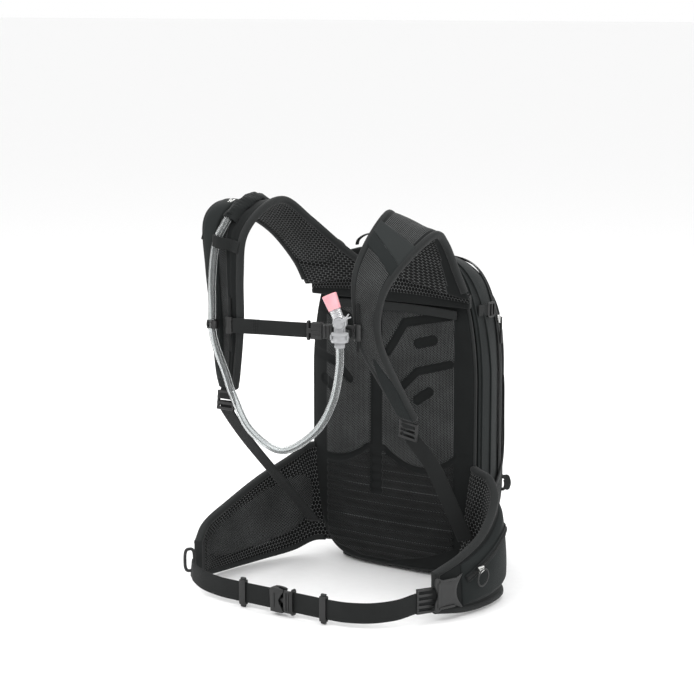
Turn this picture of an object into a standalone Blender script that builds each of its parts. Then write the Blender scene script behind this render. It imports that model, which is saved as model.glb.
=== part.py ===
"""Hydration pack: bag, back panel, reservoir, harness, drinking hose and hip belt, each piece its own object.

Metres, +Z up. The origin is on the ground under the middle of the pack. The back panel faces -Y, towards the
wearer, and left and right are as seen by someone who looks at the harness: left is -X, right is +X.
"""
import math

import bmesh
import bpy
import numpy as np
from mathutils import Matrix, Vector

# ---------------------------------------------------------------- driving dimensions
GAP = 0.0003                    # clearance that touching pieces keep
BAG_HALF_WIDTH = 0.125          # half the bag's greatest width
BAG_DEPTH = 0.158               # from the rim behind the back panel to the front
BAG_MIDDLE_Z = 0.210            # height of the bag's widest level
BAG_RISE = 0.205                # from that level to the top, and to the base
BAG_WALL = 0.0016
RIM_Y = -0.068                  # plane of the bag's open rim, closed by the back panel
PANEL_BACK_Y = -0.070
PANEL_THICKNESS = 0.008
BASE_THICKNESS = 0.003
STRAP_THICKNESS = 0.008
WING_THICKNESS = 0.009
WEBBING_THICKNESS = 0.0015
HARNESS_WEBBING = 0.020         # width of the shoulder straps' webbing
BELT_WEBBING = 0.025            # width of the hip belt's webbing
STERNUM_WEBBING = 0.018
HOSE_RADIUS = 0.00475
ZIP_ANGLE = 26.0                # degrees round the bag from the rim at which the main zip runs
STERNUM_Z = 0.340
RAIL_LEFT = Vector((-0.094, -0.2905, STERNUM_Z))
RAIL_RIGHT = Vector((0.066, -0.2485, STERNUM_Z))
BELT_Z = 0.0180
STRAP_OFFSET = -0.0030          # how far the sternum webbing stands in front of the rails' plane

# ---------------------------------------------------------------- clean start
for old in list(bpy.data.objects):
    bpy.data.objects.remove(old)
PARTS = bpy.data.collections.new("hydration_pack")
CUTTERS = bpy.data.collections.new("cutters")
for collection in (PARTS, CUTTERS):
    bpy.context.scene.collection.children.link(collection)


# ---------------------------------------------------------------- materials
def material(name, colour, roughness, metallic=0.0, alpha=1.0):
    """A Principled material with one colour, for the plain model."""
    made = bpy.data.materials.new(name)
    made.use_nodes = True
    shader = made.node_tree.nodes["Principled BSDF"]
    shader.inputs["Base Color"].default_value = (*colour, 1.0)
    shader.inputs["Roughness"].default_value = roughness
    shader.inputs["Metallic"].default_value = metallic
    shader.inputs["Alpha"].default_value = alpha
    return made


PACK_CLOTH = material("pack_cloth", (0.030, 0.033, 0.034), 0.85)
STRETCH_CLOTH = material("stretch_cloth", (0.036, 0.038, 0.038), 0.90)
SPACER_MESH = material("spacer_mesh", (0.050, 0.051, 0.052), 0.85)
WEBBING = material("webbing", (0.042, 0.042, 0.043), 0.80)
BUCKLE_PLASTIC = material("buckle_plastic", (0.020, 0.020, 0.021), 0.45)
STIFFENER = material("stiffener", (0.60, 0.60, 0.58), 0.50)
BLADDER_FILM = material("bladder_film", (0.62, 0.74, 0.80), 0.25, alpha=0.6)
HOSE_CLEAR = material("hose_clear", (0.80, 0.80, 0.80), 0.15, alpha=0.5)
VALVE_CLEAR = material("valve_clear", (0.76, 0.75, 0.76), 0.25, alpha=0.7)
VALVE_SILICONE = material("valve_silicone", (0.86, 0.42, 0.46), 0.40)
ZIP_METAL = material("zip_metal", (0.72, 0.72, 0.71), 0.25, 1.0)


# ---------------------------------------------------------------- shared shapes
def place(name, data, finish, at=(0, 0, 0), turn=None, parent=None, collection=PARTS):
    """Make a named object at a place, turned by a rotation matrix, with one material."""
    made = bpy.data.objects.new(name, data)
    collection.objects.link(made)
    made.location = at
    if turn is not None:
        made.rotation_euler = turn.to_euler()
    if parent is not None:
        made.parent = parent
    if finish is not None:
        data.materials.append(finish)
    return made


def empty(name, at, turn=None):
    """An empty that marks a joint or holds a group of pieces."""
    made = bpy.data.objects.new(name, None)
    PARTS.objects.link(made)
    made.location = at
    if turn is not None:
        made.rotation_euler = turn.to_euler()
    return made


def axes(x_axis, z_axis):
    """Rotation whose local X and Z lie along the two directions, Z exactly."""
    z = Vector(z_axis).normalized()
    y = z.cross(Vector(x_axis)).normalized()
    x = y.cross(z)
    return Matrix((x, y, z)).transposed()


def box(name, size, at, finish, turn=None, parent=None, bevel=0.0, collection=PARTS):
    """A box of a given size with its edges beveled."""
    mesh = bpy.data.meshes.new(name)
    bm = bmesh.new()
    bmesh.ops.create_cube(bm, size=1.0)
    bmesh.ops.scale(bm, vec=size, verts=bm.verts)
    bm.to_mesh(mesh)
    bm.free()
    made = place(name, mesh, finish, at, turn, parent, collection)
    if bevel:
        edge = made.modifiers.new("edge", "BEVEL")
        edge.width = bevel
        edge.segments = 1
    return made


def smooth(points, per_span):
    """Catmull-Rom curve through the points, as an array with per_span samples between two points."""
    p = np.array(points, float)
    q = np.vstack([2 * p[0] - p[1], p, 2 * p[-1] - p[-2]])
    t = np.linspace(0, 1, per_span, endpoint=False)[:, None]
    spans = [0.5 * (2 * b + (c - a) * t + (2 * a - 5 * b + 4 * c - d) * t ** 2
                    + (3 * b - a - 3 * c + d) * t ** 3)
             for a, b, c, d in zip(q, q[1:], q[2:], q[3:])]
    return np.vstack(spans + [p[-1:]])


def loft(name, rings, finish, at=(0, 0, 0), parent=None):
    """Closed solid through rings of equally many points, with a flat cap at each end."""
    bm = bmesh.new()
    origin = Vector(at)
    rows = [[bm.verts.new(Vector(p) - origin) for p in ring] for ring in rings]
    count = len(rows[0])
    for low, high in zip(rows, rows[1:]):
        for i in range(count):
            j = (i + 1) % count
            bm.faces.new((low[i], low[j], high[j], high[i]))
    bm.faces.new(list(reversed(rows[0])))
    bm.faces.new(rows[-1])
    bmesh.ops.recalc_face_normals(bm, faces=bm.faces)
    if bm.calc_volume(signed=True) < 0:
        bmesh.ops.reverse_faces(bm, faces=bm.faces)
    mesh = bpy.data.meshes.new(name)
    bm.to_mesh(mesh)
    bm.free()
    return place(name, mesh, finish, at, parent=parent)


def frames(edge_a, edge_b):
    """Middle, half width, across, and outward normal at each station between two edges."""
    a, b = np.array(edge_a, float), np.array(edge_b, float)
    middle = (a + b) / 2
    span = b - a
    half = np.linalg.norm(span, axis=1)[:, None] / 2
    across = span / (2 * half)
    along = np.gradient(middle, axis=0)
    normal = np.cross(across, along)
    normal /= np.linalg.norm(normal, axis=1)[:, None]
    return middle, half, across, normal


def ribbon(name, edge_a, edge_b, thickness, finish, at=(0, 0, 0), parent=None, corner=0.3):
    """A strap or strip between two edges: a flat section with cut corners, carried along."""
    middle, half, across, normal = frames(edge_a, edge_b)
    t = thickness / 2
    c = thickness * corner
    section = [(1, -c, -t), (1, 0, -t + c), (1, 0, t - c), (1, -c, t),
               (-1, c, t), (-1, 0, t - c), (-1, 0, -t + c), (-1, c, -t)]
    rings = [[m + a * (s * h + inset) + n * lift for s, inset, lift in section]
             for m, h, a, n in zip(middle, half, across, normal)]
    return loft(name, rings, finish, at, parent)


def strip(name, centre, across, width, finish, at=(0, 0, 0), parent=None, thickness=WEBBING_THICKNESS):
    """Webbing of one width along a centre line, lying along the given across direction."""
    c = np.array(centre, float)
    d = np.array(across, float)
    d = d / np.linalg.norm(d, axis=-1, keepdims=True) * width / 2
    return ribbon(name, c - d, c + d, thickness, finish, at, parent)


def tube(name, points, radius, finish, at=(0, 0, 0), closed=False, parent=None, sides=2):
    """A round cord or rail through points."""
    data = bpy.data.curves.new(name, "CURVE")
    data.dimensions = "3D"
    data.bevel_depth = radius
    data.bevel_resolution = sides
    data.use_fill_caps = not closed
    spline = data.splines.new("POLY")
    spline.points.add(len(points) - 1)
    for slot, p in zip(spline.points, points):
        slot.co = (*(Vector(p) - Vector(at)), 1.0)
    spline.use_cyclic_u = closed
    return place(name, data, finish, at, parent=parent)


def plate(name, loops, thickness, at, turn, finish, parent=None, collection=PARTS):
    """A flat piece: the first loop is its outline, the others are holes; thickness is along local Z."""
    data = bpy.data.curves.new(name, "CURVE")
    data.dimensions = "2D"
    data.fill_mode = "BOTH"
    data.extrude = thickness / 2
    for points in loops:
        spline = data.splines.new("POLY")
        spline.points.add(len(points) - 1)
        for slot, (x, y) in zip(spline.points, points):
            slot.co = (x, y, 0.0, 1.0)
        spline.use_cyclic_u = True
    return place(name, data, finish, at, turn, parent, collection)


def rounded(width, height, radius, x=0.0, y=0.0, steps=2):
    """Outline of a rectangle with round corners."""
    points = []
    for k, (sx, sy) in enumerate(((1, 1), (-1, 1), (-1, -1), (1, -1))):
        for i in range(steps + 1):
            angle = math.radians(90 * k + 90 * i / steps)
            points.append((x + sx * (width / 2 - radius) + radius * math.cos(angle),
                           y + sy * (height / 2 - radius) + radius * math.sin(angle)))
    return points


def arc(radius, start, end, steps, x=0.0, y=0.0):
    """Points on a circular arc, degrees."""
    return [(x + radius * math.cos(math.radians(a)), y + radius * math.sin(math.radians(a)))
            for a in np.linspace(start, end, steps)]


def turned(name, profile, at, turn, finish, parent=None, steps=16):
    """A turned piece: (radius, height) points from the top down, spun about local Z."""
    mesh = bpy.data.meshes.new(name)
    mesh.from_pydata([(r, 0, z) for r, z in profile], [(i, i + 1) for i in range(len(profile) - 1)], [])
    made = place(name, mesh, finish, at, turn, parent)
    spin = made.modifiers.new("spin", "SCREW")
    spin.axis = "Z"
    spin.steps = steps
    spin.render_steps = steps
    spin.use_merge_vertices = True
    spin.merge_threshold = 0.0001
    return made


def as_mesh(source):
    """The same object with its curve and modifiers turned into a closed mesh."""
    bpy.context.view_layer.update()
    evaluated = source.evaluated_get(bpy.context.evaluated_depsgraph_get())
    mesh = bpy.data.meshes.new_from_object(evaluated)
    bm = bmesh.new()
    bm.from_mesh(mesh)
    bmesh.ops.remove_doubles(bm, verts=bm.verts, dist=0.00001)
    bmesh.ops.recalc_face_normals(bm, faces=bm.faces)
    bm.to_mesh(mesh)
    bm.free()
    name, finish, parent = source.name, source.active_material, source.parent
    collection = source.users_collection[0]
    place_matrix = source.matrix_basis.copy()
    bpy.data.objects.remove(source)
    mesh.materials.clear()
    made = place(name, mesh, finish, parent=parent, collection=collection)
    made.matrix_basis = place_matrix
    return made


def join(base, *others):
    """Boolean union of closed pieces into the first one."""
    base = as_mesh(base)
    for other in others:
        cutter = as_mesh(other)
        cutter.hide_render = True
        cutter.display_type = "WIRE"
        weld = base.modifiers.new("join", "BOOLEAN")
        weld.operation = "UNION"
        weld.object = cutter
    return base


# ---------------------------------------------------------------- the bag
def bag_point(theta, v, out=0.0):
    """Point on the bag: theta is 0 at the rim and 90 degrees at the front's middle, v goes round (degrees).

    Each level is a superellipse that shrinks as cos(theta) and moves forward as sin(theta); the base keeps its
    size longer than the top, so it stays flat to stand on.
    """
    def surface(th, vv):
        c, s = math.cos(vv), math.sin(vv)
        shrink = max(math.cos(th), 0.0)
        x = BAG_HALF_WIDTH * math.copysign(abs(c) ** 0.42, c) * shrink ** 0.95
        z = BAG_MIDDLE_Z + BAG_RISE * math.copysign(abs(s) ** 0.42, s) * shrink ** (0.62 if s > 0 else 0.30)
        taper = 1 - 0.14 * max(0.0, (z - 0.26) / 0.155) ** 1.5 - 0.07 * max(0.0, (0.12 - z) / 0.12)
        return Vector((x * taper, RIM_Y + BAG_DEPTH * math.sin(th), z))
    th, vv = math.radians(theta), math.radians(v)
    here = surface(th, vv)
    if not out:
        return here
    step = 0.02
    normal = (surface(th, vv + step) - surface(th, vv - step)).cross(
        surface(th + step, vv) - surface(th - step, vv))
    return here + normal.normalized() * -out if normal.dot(here - Vector((0, 0, BAG_MIDDLE_Z))) < 0 \
        else here + normal.normalized() * out


BAG_ANGLES = (0, 9, 18, 26, 34, 42, 50, 58, 67, 77)
BAG_ROUND = 36


def bag_shell():
    """The bag: an open bowl of cloth whose rim meets the back panel, pierced for the hose's port."""
    bm = bmesh.new()
    rows = [[bm.verts.new(bag_point(theta, 360 * i / BAG_ROUND)) for i in range(BAG_ROUND)]
            for theta in BAG_ANGLES]
    tip = bm.verts.new(bag_point(90, 0))
    for low, high in zip(rows, rows[1:]):
        for i in range(BAG_ROUND):
            j = (i + 1) % BAG_ROUND
            bm.faces.new((low[i], high[i], high[j], low[j]))
    for i in range(BAG_ROUND):
        bm.faces.new((rows[-1][i], tip, rows[-1][(i + 1) % BAG_ROUND]))
    bmesh.ops.recalc_face_normals(bm, faces=bm.faces)
    if sum(f.normal.y * f.calc_area() for f in bm.faces) < 0:
        bmesh.ops.reverse_faces(bm, faces=bm.faces)
    mesh = bpy.data.meshes.new("bag_shell")
    bm.to_mesh(mesh)
    bm.free()
    shell = place("bag_shell", mesh, PACK_CLOTH)
    wall = shell.modifiers.new("wall", "SOLIDIFY")
    wall.thickness = BAG_WALL
    wall.offset = -1
    cutter = turned("port_cutter", [(0, 0.03), (0.0084, 0.03), (0.0084, -0.03), (0, -0.03)], PORT, None, None)
    PARTS.objects.unlink(cutter)
    CUTTERS.objects.link(cutter)
    cutter.hide_render = True
    cutter.display_type = "WIRE"
    hole = shell.modifiers.new("port_hole", "BOOLEAN")
    hole.operation = "DIFFERENCE"
    hole.object = cutter


def bag_patch(name, thetas, rounds, low, high, finish):
    """A flat piece lying on the bag: the same stretch of its surface lifted by low inside and high outside."""
    def lift(amount, i, j):
        return bag_point(thetas[i], rounds(thetas[i])[j], amount(i, j) if callable(amount) else amount)
    count = len(rounds(thetas[0]))
    last = len(thetas) - 1
    rings = []
    for i in range(last + 1):
        outer = [lift(high, i, j) for j in range(count)]
        inner = [lift(low, i, j) for j in reversed(range(count))]
        rings.append(outer + inner)
    return loft(name, rings, finish)


PORT = Vector((-0.088, -0.051, 0.398))
HAUL_PIVOT = Vector((-0.010, -0.0760, 0.4195))


def bag():
    bag_shell()
    plate("base_panel", [rounded(0.200, 0.120, 0.02, 0, -0.003)], BASE_THICKNESS,
          (0, 0, BASE_THICKNESS / 2), None, PACK_CLOTH)
    outline = [(p.x * 0.985, p.z) for p in (bag_point(0, 360 * i / 48) for i in range(48))]
    upright = axes((1, 0, 0), (0, -1, 0))
    plate("back_panel", [outline], PANEL_THICKNESS, (0, PANEL_BACK_Y - PANEL_THICKNESS / 2, 0), upright,
          SPACER_MESH)
    sheet_outline = [(x * 0.90, BAG_MIDDLE_Z + (z - BAG_MIDDLE_Z) * 0.90) for x, z in outline]
    plate("frame_sheet", [sheet_outline], 0.0012, (0, PANEL_BACK_Y + 0.0009, 0), upright, STIFFENER)
    # the zips, pockets and small straps that lie on the bag
    arch = np.linspace(-12, 192, 35)
    bag_patch("main_zip", (ZIP_ANGLE - 2.6, ZIP_ANGLE, ZIP_ANGLE + 2.6), lambda th: arch, 0.0008,
              0.0018, WEBBING)
    ring = [360 * i / BAG_ROUND for i in range(BAG_ROUND)]
    angles, swell = (52, 58, 67, 77, 87), (0.003, 0.009, 0.012, 0.013, 0.013)
    inside = [[bag_point(theta, v, 0.0012) for v in ring] for theta in reversed(angles)]
    outside = [[bag_point(theta, v, lift) for v in ring] for theta, lift in zip(angles, swell)]
    loft("front_pocket", inside + outside, STRETCH_CLOTH)
    for side, name in ((-1, "left"), (1, "right")):
        def rounds(theta, side=side):
            top = -8 + 0.35 * (theta - 20)
            span = np.linspace(-62, top, 9)
            return span if side > 0 else 180 - span
        bag_patch("side_pocket_" + name, (4, 9, 18, 26, 34, 42, 48), rounds,
                  lambda i, j: 0.0022, lambda i, j: 0.0034 + 0.0022 * math.sin(math.pi * min(j, 7) / 8),
                  STRETCH_CLOTH)
        hook_at = bag_point(15, 22 if side > 0 else 158, 0.0050)
        plate("compression_hook_" + name,
              [rounded(0.018, 0.020, 0.004), rounded(0.004, 0.013, 0.0015, 0.004)],
              0.0026, hook_at, axes((0, 1, 0), (side, 0.25, 0)), BUCKLE_PLASTIC)


def zip_slider(name, at, pull_axis, outward, finish=ZIP_METAL):
    """A zip slider: a small wedge-shaped block that rides on the coil."""
    return box(name, (0.0065, 0.0085, 0.0026), at, finish, axes(pull_axis, outward), bevel=0.0007)


def cord_pull(name, at, down, outward, length=0.030):
    """A cord pull with a moulded tip, hanging from its slider."""
    down = Vector(down).normalized()
    width = down.cross(Vector(outward)).normalized()
    stations = [(0.0, 0.0011, 0.0009), (0.45, 0.0011, 0.0009), (0.50, 0.0024, 0.0015),
                (0.92, 0.0030, 0.0019), (1.0, 0.0016, 0.0011)]
    normal = width.cross(down)
    rings = []
    for part, w, t in stations:
        c = Vector(at) + down * (part * length)
        rings.append([c + width * (w * math.cos(a)) + normal * (t * math.sin(a))
                      for a in np.linspace(0, 2 * math.pi, 8, endpoint=False)])
    return loft(name, rings, BUCKLE_PLASTIC, at)


def bag_zip_pulls():
    for side, name, v in ((1, "right", 18.0), (-1, "left", 162.0)):
        at = bag_point(ZIP_ANGLE, v, 0.0043)
        out = bag_point(ZIP_ANGLE, v, 0.02) - bag_point(ZIP_ANGLE, v)
        along = bag_point(ZIP_ANGLE, v + side * 3) - bag_point(ZIP_ANGLE, v - side * 3)
        zip_slider("main_zip_slider_" + name, at, along.cross(out), out)
        if side > 0:
            cord_pull("main_zip_pull_right", at + out.normalized() * 0.0032 + Vector((0, 0, 0.002)),
                      (0, 0, -1), out, 0.034)
    top = bag_point(56, 90, 0.0165)
    zip_slider("front_zip_slider", top, (0, 0.3, 1), bag_point(56, 90, 0.02) - bag_point(56, 90),
               BUCKLE_PLASTIC)
    tab = bag_point(34, -12, 0.0105)
    box("light_tab", (0.0020, 0.012, 0.016), tab, WEBBING, axes((0.3, 1, 0), (0, 0, 1)), bevel=0.0004)


# ---------------------------------------------------------------- the reservoir, inside
def reservoir():
    upright = axes((1, 0, 0), (0, -1, 0))
    plate("reservoir_sleeve", [rounded(0.190, 0.320, 0.02, 0, 0.195)], 0.0010, (0, -0.0595, 0), upright,
          PACK_CLOTH)
    rings = []
    for level in np.linspace(-1, 1, 13) * 0.985:
        reach = (1 - abs(level) ** 3) ** (1 / 3)
        rings.append([(0.086 * max(reach, 0.3) * math.copysign(abs(math.cos(a)) ** 0.6, math.cos(a)),
                       -0.038 + 0.018 * reach * math.copysign(abs(math.sin(a)) ** 0.9, math.sin(a)),
                       0.195 + 0.145 * level)
                      for a in np.linspace(0, 2 * math.pi, 20, endpoint=False)])
    loft("reservoir_bladder", rings, BLADDER_FILM)
    facing = axes((1, 0, 0), (0, 1, 0))
    turned("reservoir_cap", [(0, 0.012), (0.026, 0.012), (0.030, 0.009), (0.030, 0), (0, 0)],
           (0, -0.0190, 0.275), facing, BUCKLE_PLASTIC, steps=24)
    turned("hose_connector",
           [(0, 0.012), (0.0062, 0.012), (0.0078, 0.008), (0.0078, -0.008), (0.0062, -0.012),
                              (0, -0.012)], (-0.070, -0.010, 0.075), None, BUCKLE_PLASTIC)


# ---------------------------------------------------------------- the harness
# the two edges of each shoulder strap, from the yoke over the shoulder to the ladder lock
LEFT_OUTER = smooth([(-.124, -.094, .366), (-.128, -.112, .398), (-.134, -.150, .437), (-.141, -.190, .462),
                     (-.148, -.232, .480), (-.150, -.265, .462), (-.137, -.2785, .405), (-.130, -.2775, .340),
                     (-.132, -.267, .280), (-.131, -.261, .256)], 3)
LEFT_INNER = smooth([(-.012, -.095, .390), (-.044, -.120, .421), (-.066, -.158, .458), (-.075, -.200, .486),
                     (-.072, -.250, .478), (-.077, -.281, .447), (-.080, -.2840, .400), (-.081, -.2830, .340),
                     (-.094, -.274, .280), (-.104, -.266, .256)], 3)
RIGHT_INNER = smooth([(.012, -.095, .390), (.034, -.120, .432), (.046, -.150, .470), (.053, -.180, .470),
                      (.052, -.215, .440), (.052, -.238, .405), (.056, -.2420, .365), (.061, -.2365, .322),
                      (.069, -.195, .262), (.071, -.168, .228)], 3)
RIGHT_OUTER = smooth([(.124, -.094, .366), (.116, -.106, .400), (.115, -.130, .436), (.118, -.158, .450),
                      (.112, -.200, .430), (.100, -.229, .400), (.091, -.2390, .365), (.090, -.2325, .322),
                      (.094, -.190, .256), (.096, -.165, .222)], 3)


def on_strap(outer, inner, station, share, height):
    """A point over a strap's outer face: station along it, share across from the outer edge, height above."""
    middle, half, across, normal = frames(outer, inner)
    index = np.arange(len(middle))
    pick = lambda values: np.array([np.interp(station, index, values[:, k]) for k in range(values.shape[1])])
    sign = math.copysign(1.0, normal[len(normal) // 2][2])
    return Vector(pick(middle) + pick(across) * pick(half)[0] * (2 * share - 1)
                  + pick(normal) * sign * (STRAP_THICKNESS / 2 + height))


HOSE_SHARE = 0.62               # where across the left strap the hose lies at the front
HOSE_START_SHARE = 0.36         # and where it comes onto the strap
SLEEVE_START, SLEEVE_END = 5.6, 14.2
HOSE_HEIGHT = 0.0074            # of the hose's middle over the strap's outer face


def hose_share(station):
    """The hose comes onto the strap near its outer edge and drifts inwards over the shoulder."""
    t = min(max((station - 7.5) / 5.0, 0.0), 1.0)
    return HOSE_START_SHARE + (HOSE_SHARE - HOSE_START_SHARE) * t * t * (3 - 2 * t)


def hose_points():
    """The free hose's route: out of the sleeve, down the strap, round a free loop and up into the valve."""
    start = on_strap(LEFT_OUTER, LEFT_INNER, SLEEVE_END + 0.12, HOSE_SHARE, HOSE_HEIGHT)
    return [start, (-.1115, -.2925, .440), (-.1155, -.2960, .400), (-.1160, -.2965, .365),
            (-.1150, -.2963, .325),
            (-.1005, -.291, .280), (-.091, -.289, .254), (-.067, -.2855, .212), (-.022, -.2815, .192),
            (.0245, -.2775, .220), (.0475, -.2745, .258), (.0565, -.2735, .298), (.0572, -.2735, .3302)]


def hose():
    route = smooth(hose_points(), 3)
    tube("hose", [tuple(p) for p in route], HOSE_RADIUS, HOSE_CLEAR)
    start = Vector((-0.070, -0.010, 0.0875))
    inside = [start, (-.070, -.010, .15), (-.070, -.010, .27), (-.075, -.015, .325), (-.085, -.035, .368),
              (-.088, -.0505, .396), (-.0895, -.0620, .4145), (-.0945, -.0840, .4255),
              (-.0995, -.1060, .4340)]
    on_top = [on_strap(LEFT_OUTER, LEFT_INNER, s, hose_share(s), max(HOSE_HEIGHT, 0.0120 - 0.0008 * s))
              for s in (4.8, 5.6, 6.6, 7.5, 9, 10.5, 12, 13.2, SLEEVE_END)]
    tube("hose_hidden", [tuple(p) for p in smooth(inside + on_top, 2)], HOSE_RADIUS, HOSE_CLEAR)


def hose_sleeve():
    """A cloth sleeve on the left strap: a low arch with the hose under it."""
    outer = [(-.0085, .0030), (-.0085, .0095), (-.0050, .0143), (.0050, .0143), (.0085, .0095),
             (.0085, .0030)]
    inner = [(.0070, .0030), (.0070, .0087), (.0042, .0130), (-.0042, .0130), (-.0070, .0087),
             (-.0070, .0030)]
    rings = []
    for s in np.linspace(SLEEVE_START, SLEEVE_END - 0.2, 13):
        share = hose_share(s)
        low = on_strap(LEFT_OUTER, LEFT_INNER, s, share, 0)
        up = (on_strap(LEFT_OUTER, LEFT_INNER, s, share, 0.01) - low) / 0.01
        side = on_strap(LEFT_OUTER, LEFT_INNER, s, share + 0.05, 0) - low
        side.normalize()
        rings.append([low + side * a + up * h for a, h in outer + inner])
    loft("hose_sleeve", rings, STRETCH_CLOTH)


def hose_keeper():
    """An elastic band across the left strap that holds the hose down."""
    profile = [(.04, .0005), (.36, .0008), (.44, .0122), (.60, .0162), (.76, .0122), (.84, .0008),
               (.96, .0005)]
    rings = []
    for share, height in profile:
        rings.append([on_strap(LEFT_OUTER, LEFT_INNER, station, share, height + lift)
                      for station, lift in ((15.2, 0), (15.9, 0), (15.9, .0012), (15.2, .0012))])
    loft("hose_keeper", rings, WEBBING)


def ladder_lock(name, at, turn):
    """A four-bar ladder lock."""
    holes = [rounded(0.020, 0.0032, 0.001, 0, y) for y in (-0.0072, 0.0, 0.0072)]
    plate(name, [rounded(0.026, 0.024, 0.003)] + holes, 0.0034, at, turn, BUCKLE_PLASTIC)


def harness():
    # the yoke: a low padded arch over the top of the back panel
    x = np.linspace(-0.118, 0.118, 15)
    arch = 1 - (x / 0.118) ** 2
    low = np.stack([x, np.full_like(x, -0.0828), np.full_like(x, 0.352)], 1)
    high = np.stack([x, -0.0832 + 0 * x, 0.3635 + 0.021 * arch], 1)
    ribbon("yoke", low, high, 0.0075, SPACER_MESH)
    ribbon("shoulder_strap_left", LEFT_OUTER, LEFT_INNER, STRAP_THICKNESS, SPACER_MESH)
    ribbon("shoulder_strap_right", RIGHT_OUTER, RIGHT_INNER, STRAP_THICKNESS, SPACER_MESH)
    loop = [(-.045, 0), (-.042, .007), (-.030, .0140), (-.010, .0175), (.012, .0175), (.032, .0130),
            (.042, .006),
            (.045, 0)]
    points = smooth([HAUL_PIVOT + Vector((x, 0, z)) for x, z in loop], 2)
    strip("haul_loop", points, (0, 1, 0), 0.006, WEBBING, at=HAUL_PIVOT, thickness=0.0014)
    ladder_lock("ladder_lock_left", (-.1180, -.2685, .2405), axes((1, -.15, 0), (0.0, -1, 0.10)))
    ladder_lock("ladder_lock_right", (.0800, -.1600, .2080), axes((1, 0, -.2), (0.0, -.97, -.20)))
    left_line = [(-.1175, -.2660, .2265), (-.1160, -.225, .180), (-.1140, -.155, .112), (-.1120, -.092, .050)]
    strip("strap_webbing_left", smooth(left_line, 3), (1, 0, .10), HARNESS_WEBBING, WEBBING)
    right_line = [(.0815, -.1470, .1920), (.0955, -.130, .160), (.1090, -.110, .110), (.1210, -.0905, .060)]
    strip("strap_webbing_right", smooth(right_line, 3), (1, .12, .25), HARNESS_WEBBING, WEBBING)
    # the rails that the sternum strap slides on
    tube("sternum_rail_left", [RAIL_LEFT + Vector((0, 0, z)) for z in (-.030, .032)], 0.0018, WEBBING)
    tube("sternum_rail_right", [RAIL_RIGHT + Vector((0, 0, z)) for z in (-.022, .034)], 0.0018, WEBBING)
    # zip slider on the left strap's pocket
    low = on_strap(LEFT_OUTER, LEFT_INNER, 12.4, .30, 0.0030)
    out = on_strap(LEFT_OUTER, LEFT_INNER, 12.4, .30, 0.02) - low
    zip_slider("strap_zip_slider", low, (1, 0, 0), out)


# ---------------------------------------------------------------- the sternum strap and drinking valve
def sternum():
    """Everything that slides up and down the rails together, and the buckle half that comes off."""
    along = (RAIL_RIGHT - RAIL_LEFT).normalized()
    out = Vector((along.y, -along.x, 0))
    turn = axes(along, (0, 0, 1))
    base = empty("sternum_height", RAIL_LEFT)

    def local(x, y, z=0.0):
        return along * x - out * y + Vector((0, 0, z))

    span = (RAIL_RIGHT - RAIL_LEFT).length
    half_pipe = arc(0.0048, 180, 360, 9) + arc(0.0024, 360, 180, 7)
    for name, x in (("left", 0.0), ("right", span)):
        plate("sternum_slider_" + name, [half_pipe], 0.020, local(x, 0), turn, BUCKLE_PLASTIC, base)
    clip = arc(0.0072, -65, 245, 15) + arc(0.0056, 245, -65, 13)
    plate("hose_clip", [clip], 0.010, Vector((-0.1157, -0.2965, STERNUM_Z)) - RAIL_LEFT, None,
          BUCKLE_PLASTIC, base)
    buckle_x = 0.1180            # distance of the buckle's middle from the left rail
    webbing = [local(x, STRAP_OFFSET) for x in (0.0055, 0.03, 0.055, 0.08, buckle_x - 0.0115)]
    strip("sternum_webbing_left", webbing, (0, 0, 1), STERNUM_WEBBING, WEBBING, parent=base)
    # the socket half: a flat sleeve with a ring round the webbing, so it can be drawn back along it
    socket = [(-.010, -.0040), (.004, -.0040), (.004, -.0024), (-.0065, -.0024), (-.0065, .0024),
              (.004, .0024),
              (.004, .0040), (-.010, .0040)]
    body = plate("sternum_buckle_socket", [socket], 0.0200, local(buckle_x, STRAP_OFFSET), turn,
                 BUCKLE_PLASTIC, base)
    across = axes((0, 0, 1), along)
    ring = plate("sternum_ring", [rounded(0.0235, 0.0080, 0.001), rounded(0.0192, 0.0036, 0.0005)], 0.0030,
                 local(buckle_x - 0.0140, STRAP_OFFSET), across, BUCKLE_PLASTIC, base, CUTTERS)
    arms = box("sternum_arms", (0.0085, 0.0014, 0.006), local(buckle_x - 0.0110, STRAP_OFFSET - 0.0033),
               BUCKLE_PLASTIC, turn, base, collection=CUTTERS)
    join(body, ring, arms)
    tail = span - buckle_x - 0.0052
    plug = [(-.0058, -.0020), (.0045, -.0020), (.0045, -.0040), (.0160, -.0040), (.0240, -.0016),
            (tail, -.0016),
            (tail, .0010), (.0240, .0010), (.0160, .0030), (.0045, .0030), (.0045, .0020), (-.0058, .0020)]
    body = plate("sternum_buckle_plug", [plug], 0.0180, local(buckle_x, STRAP_OFFSET), turn,
                 BUCKLE_PLASTIC, base)
    magnet = box("magnet_clip", (0.0110, 0.0083, 0.0110), Vector((0.0565, -0.25865, 0.3385)) - RAIL_LEFT,
                 BUCKLE_PLASTIC, parent=base, bevel=0.001, collection=CUTTERS)
    join(body, magnet)
    return base


VALVE = Vector((0.0572, -0.2735, 0.3370))        # middle of the valve's collar
DIAL = Vector((0.0577, -0.2735, 0.3545))         # middle of the shut-off dial
DIAL_AXIS = Vector((0.40, -0.9165, 0.0))
MOUTH_LEAN = Vector((-0.0145, -0.0015, 0.0315)).normalized()


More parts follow.
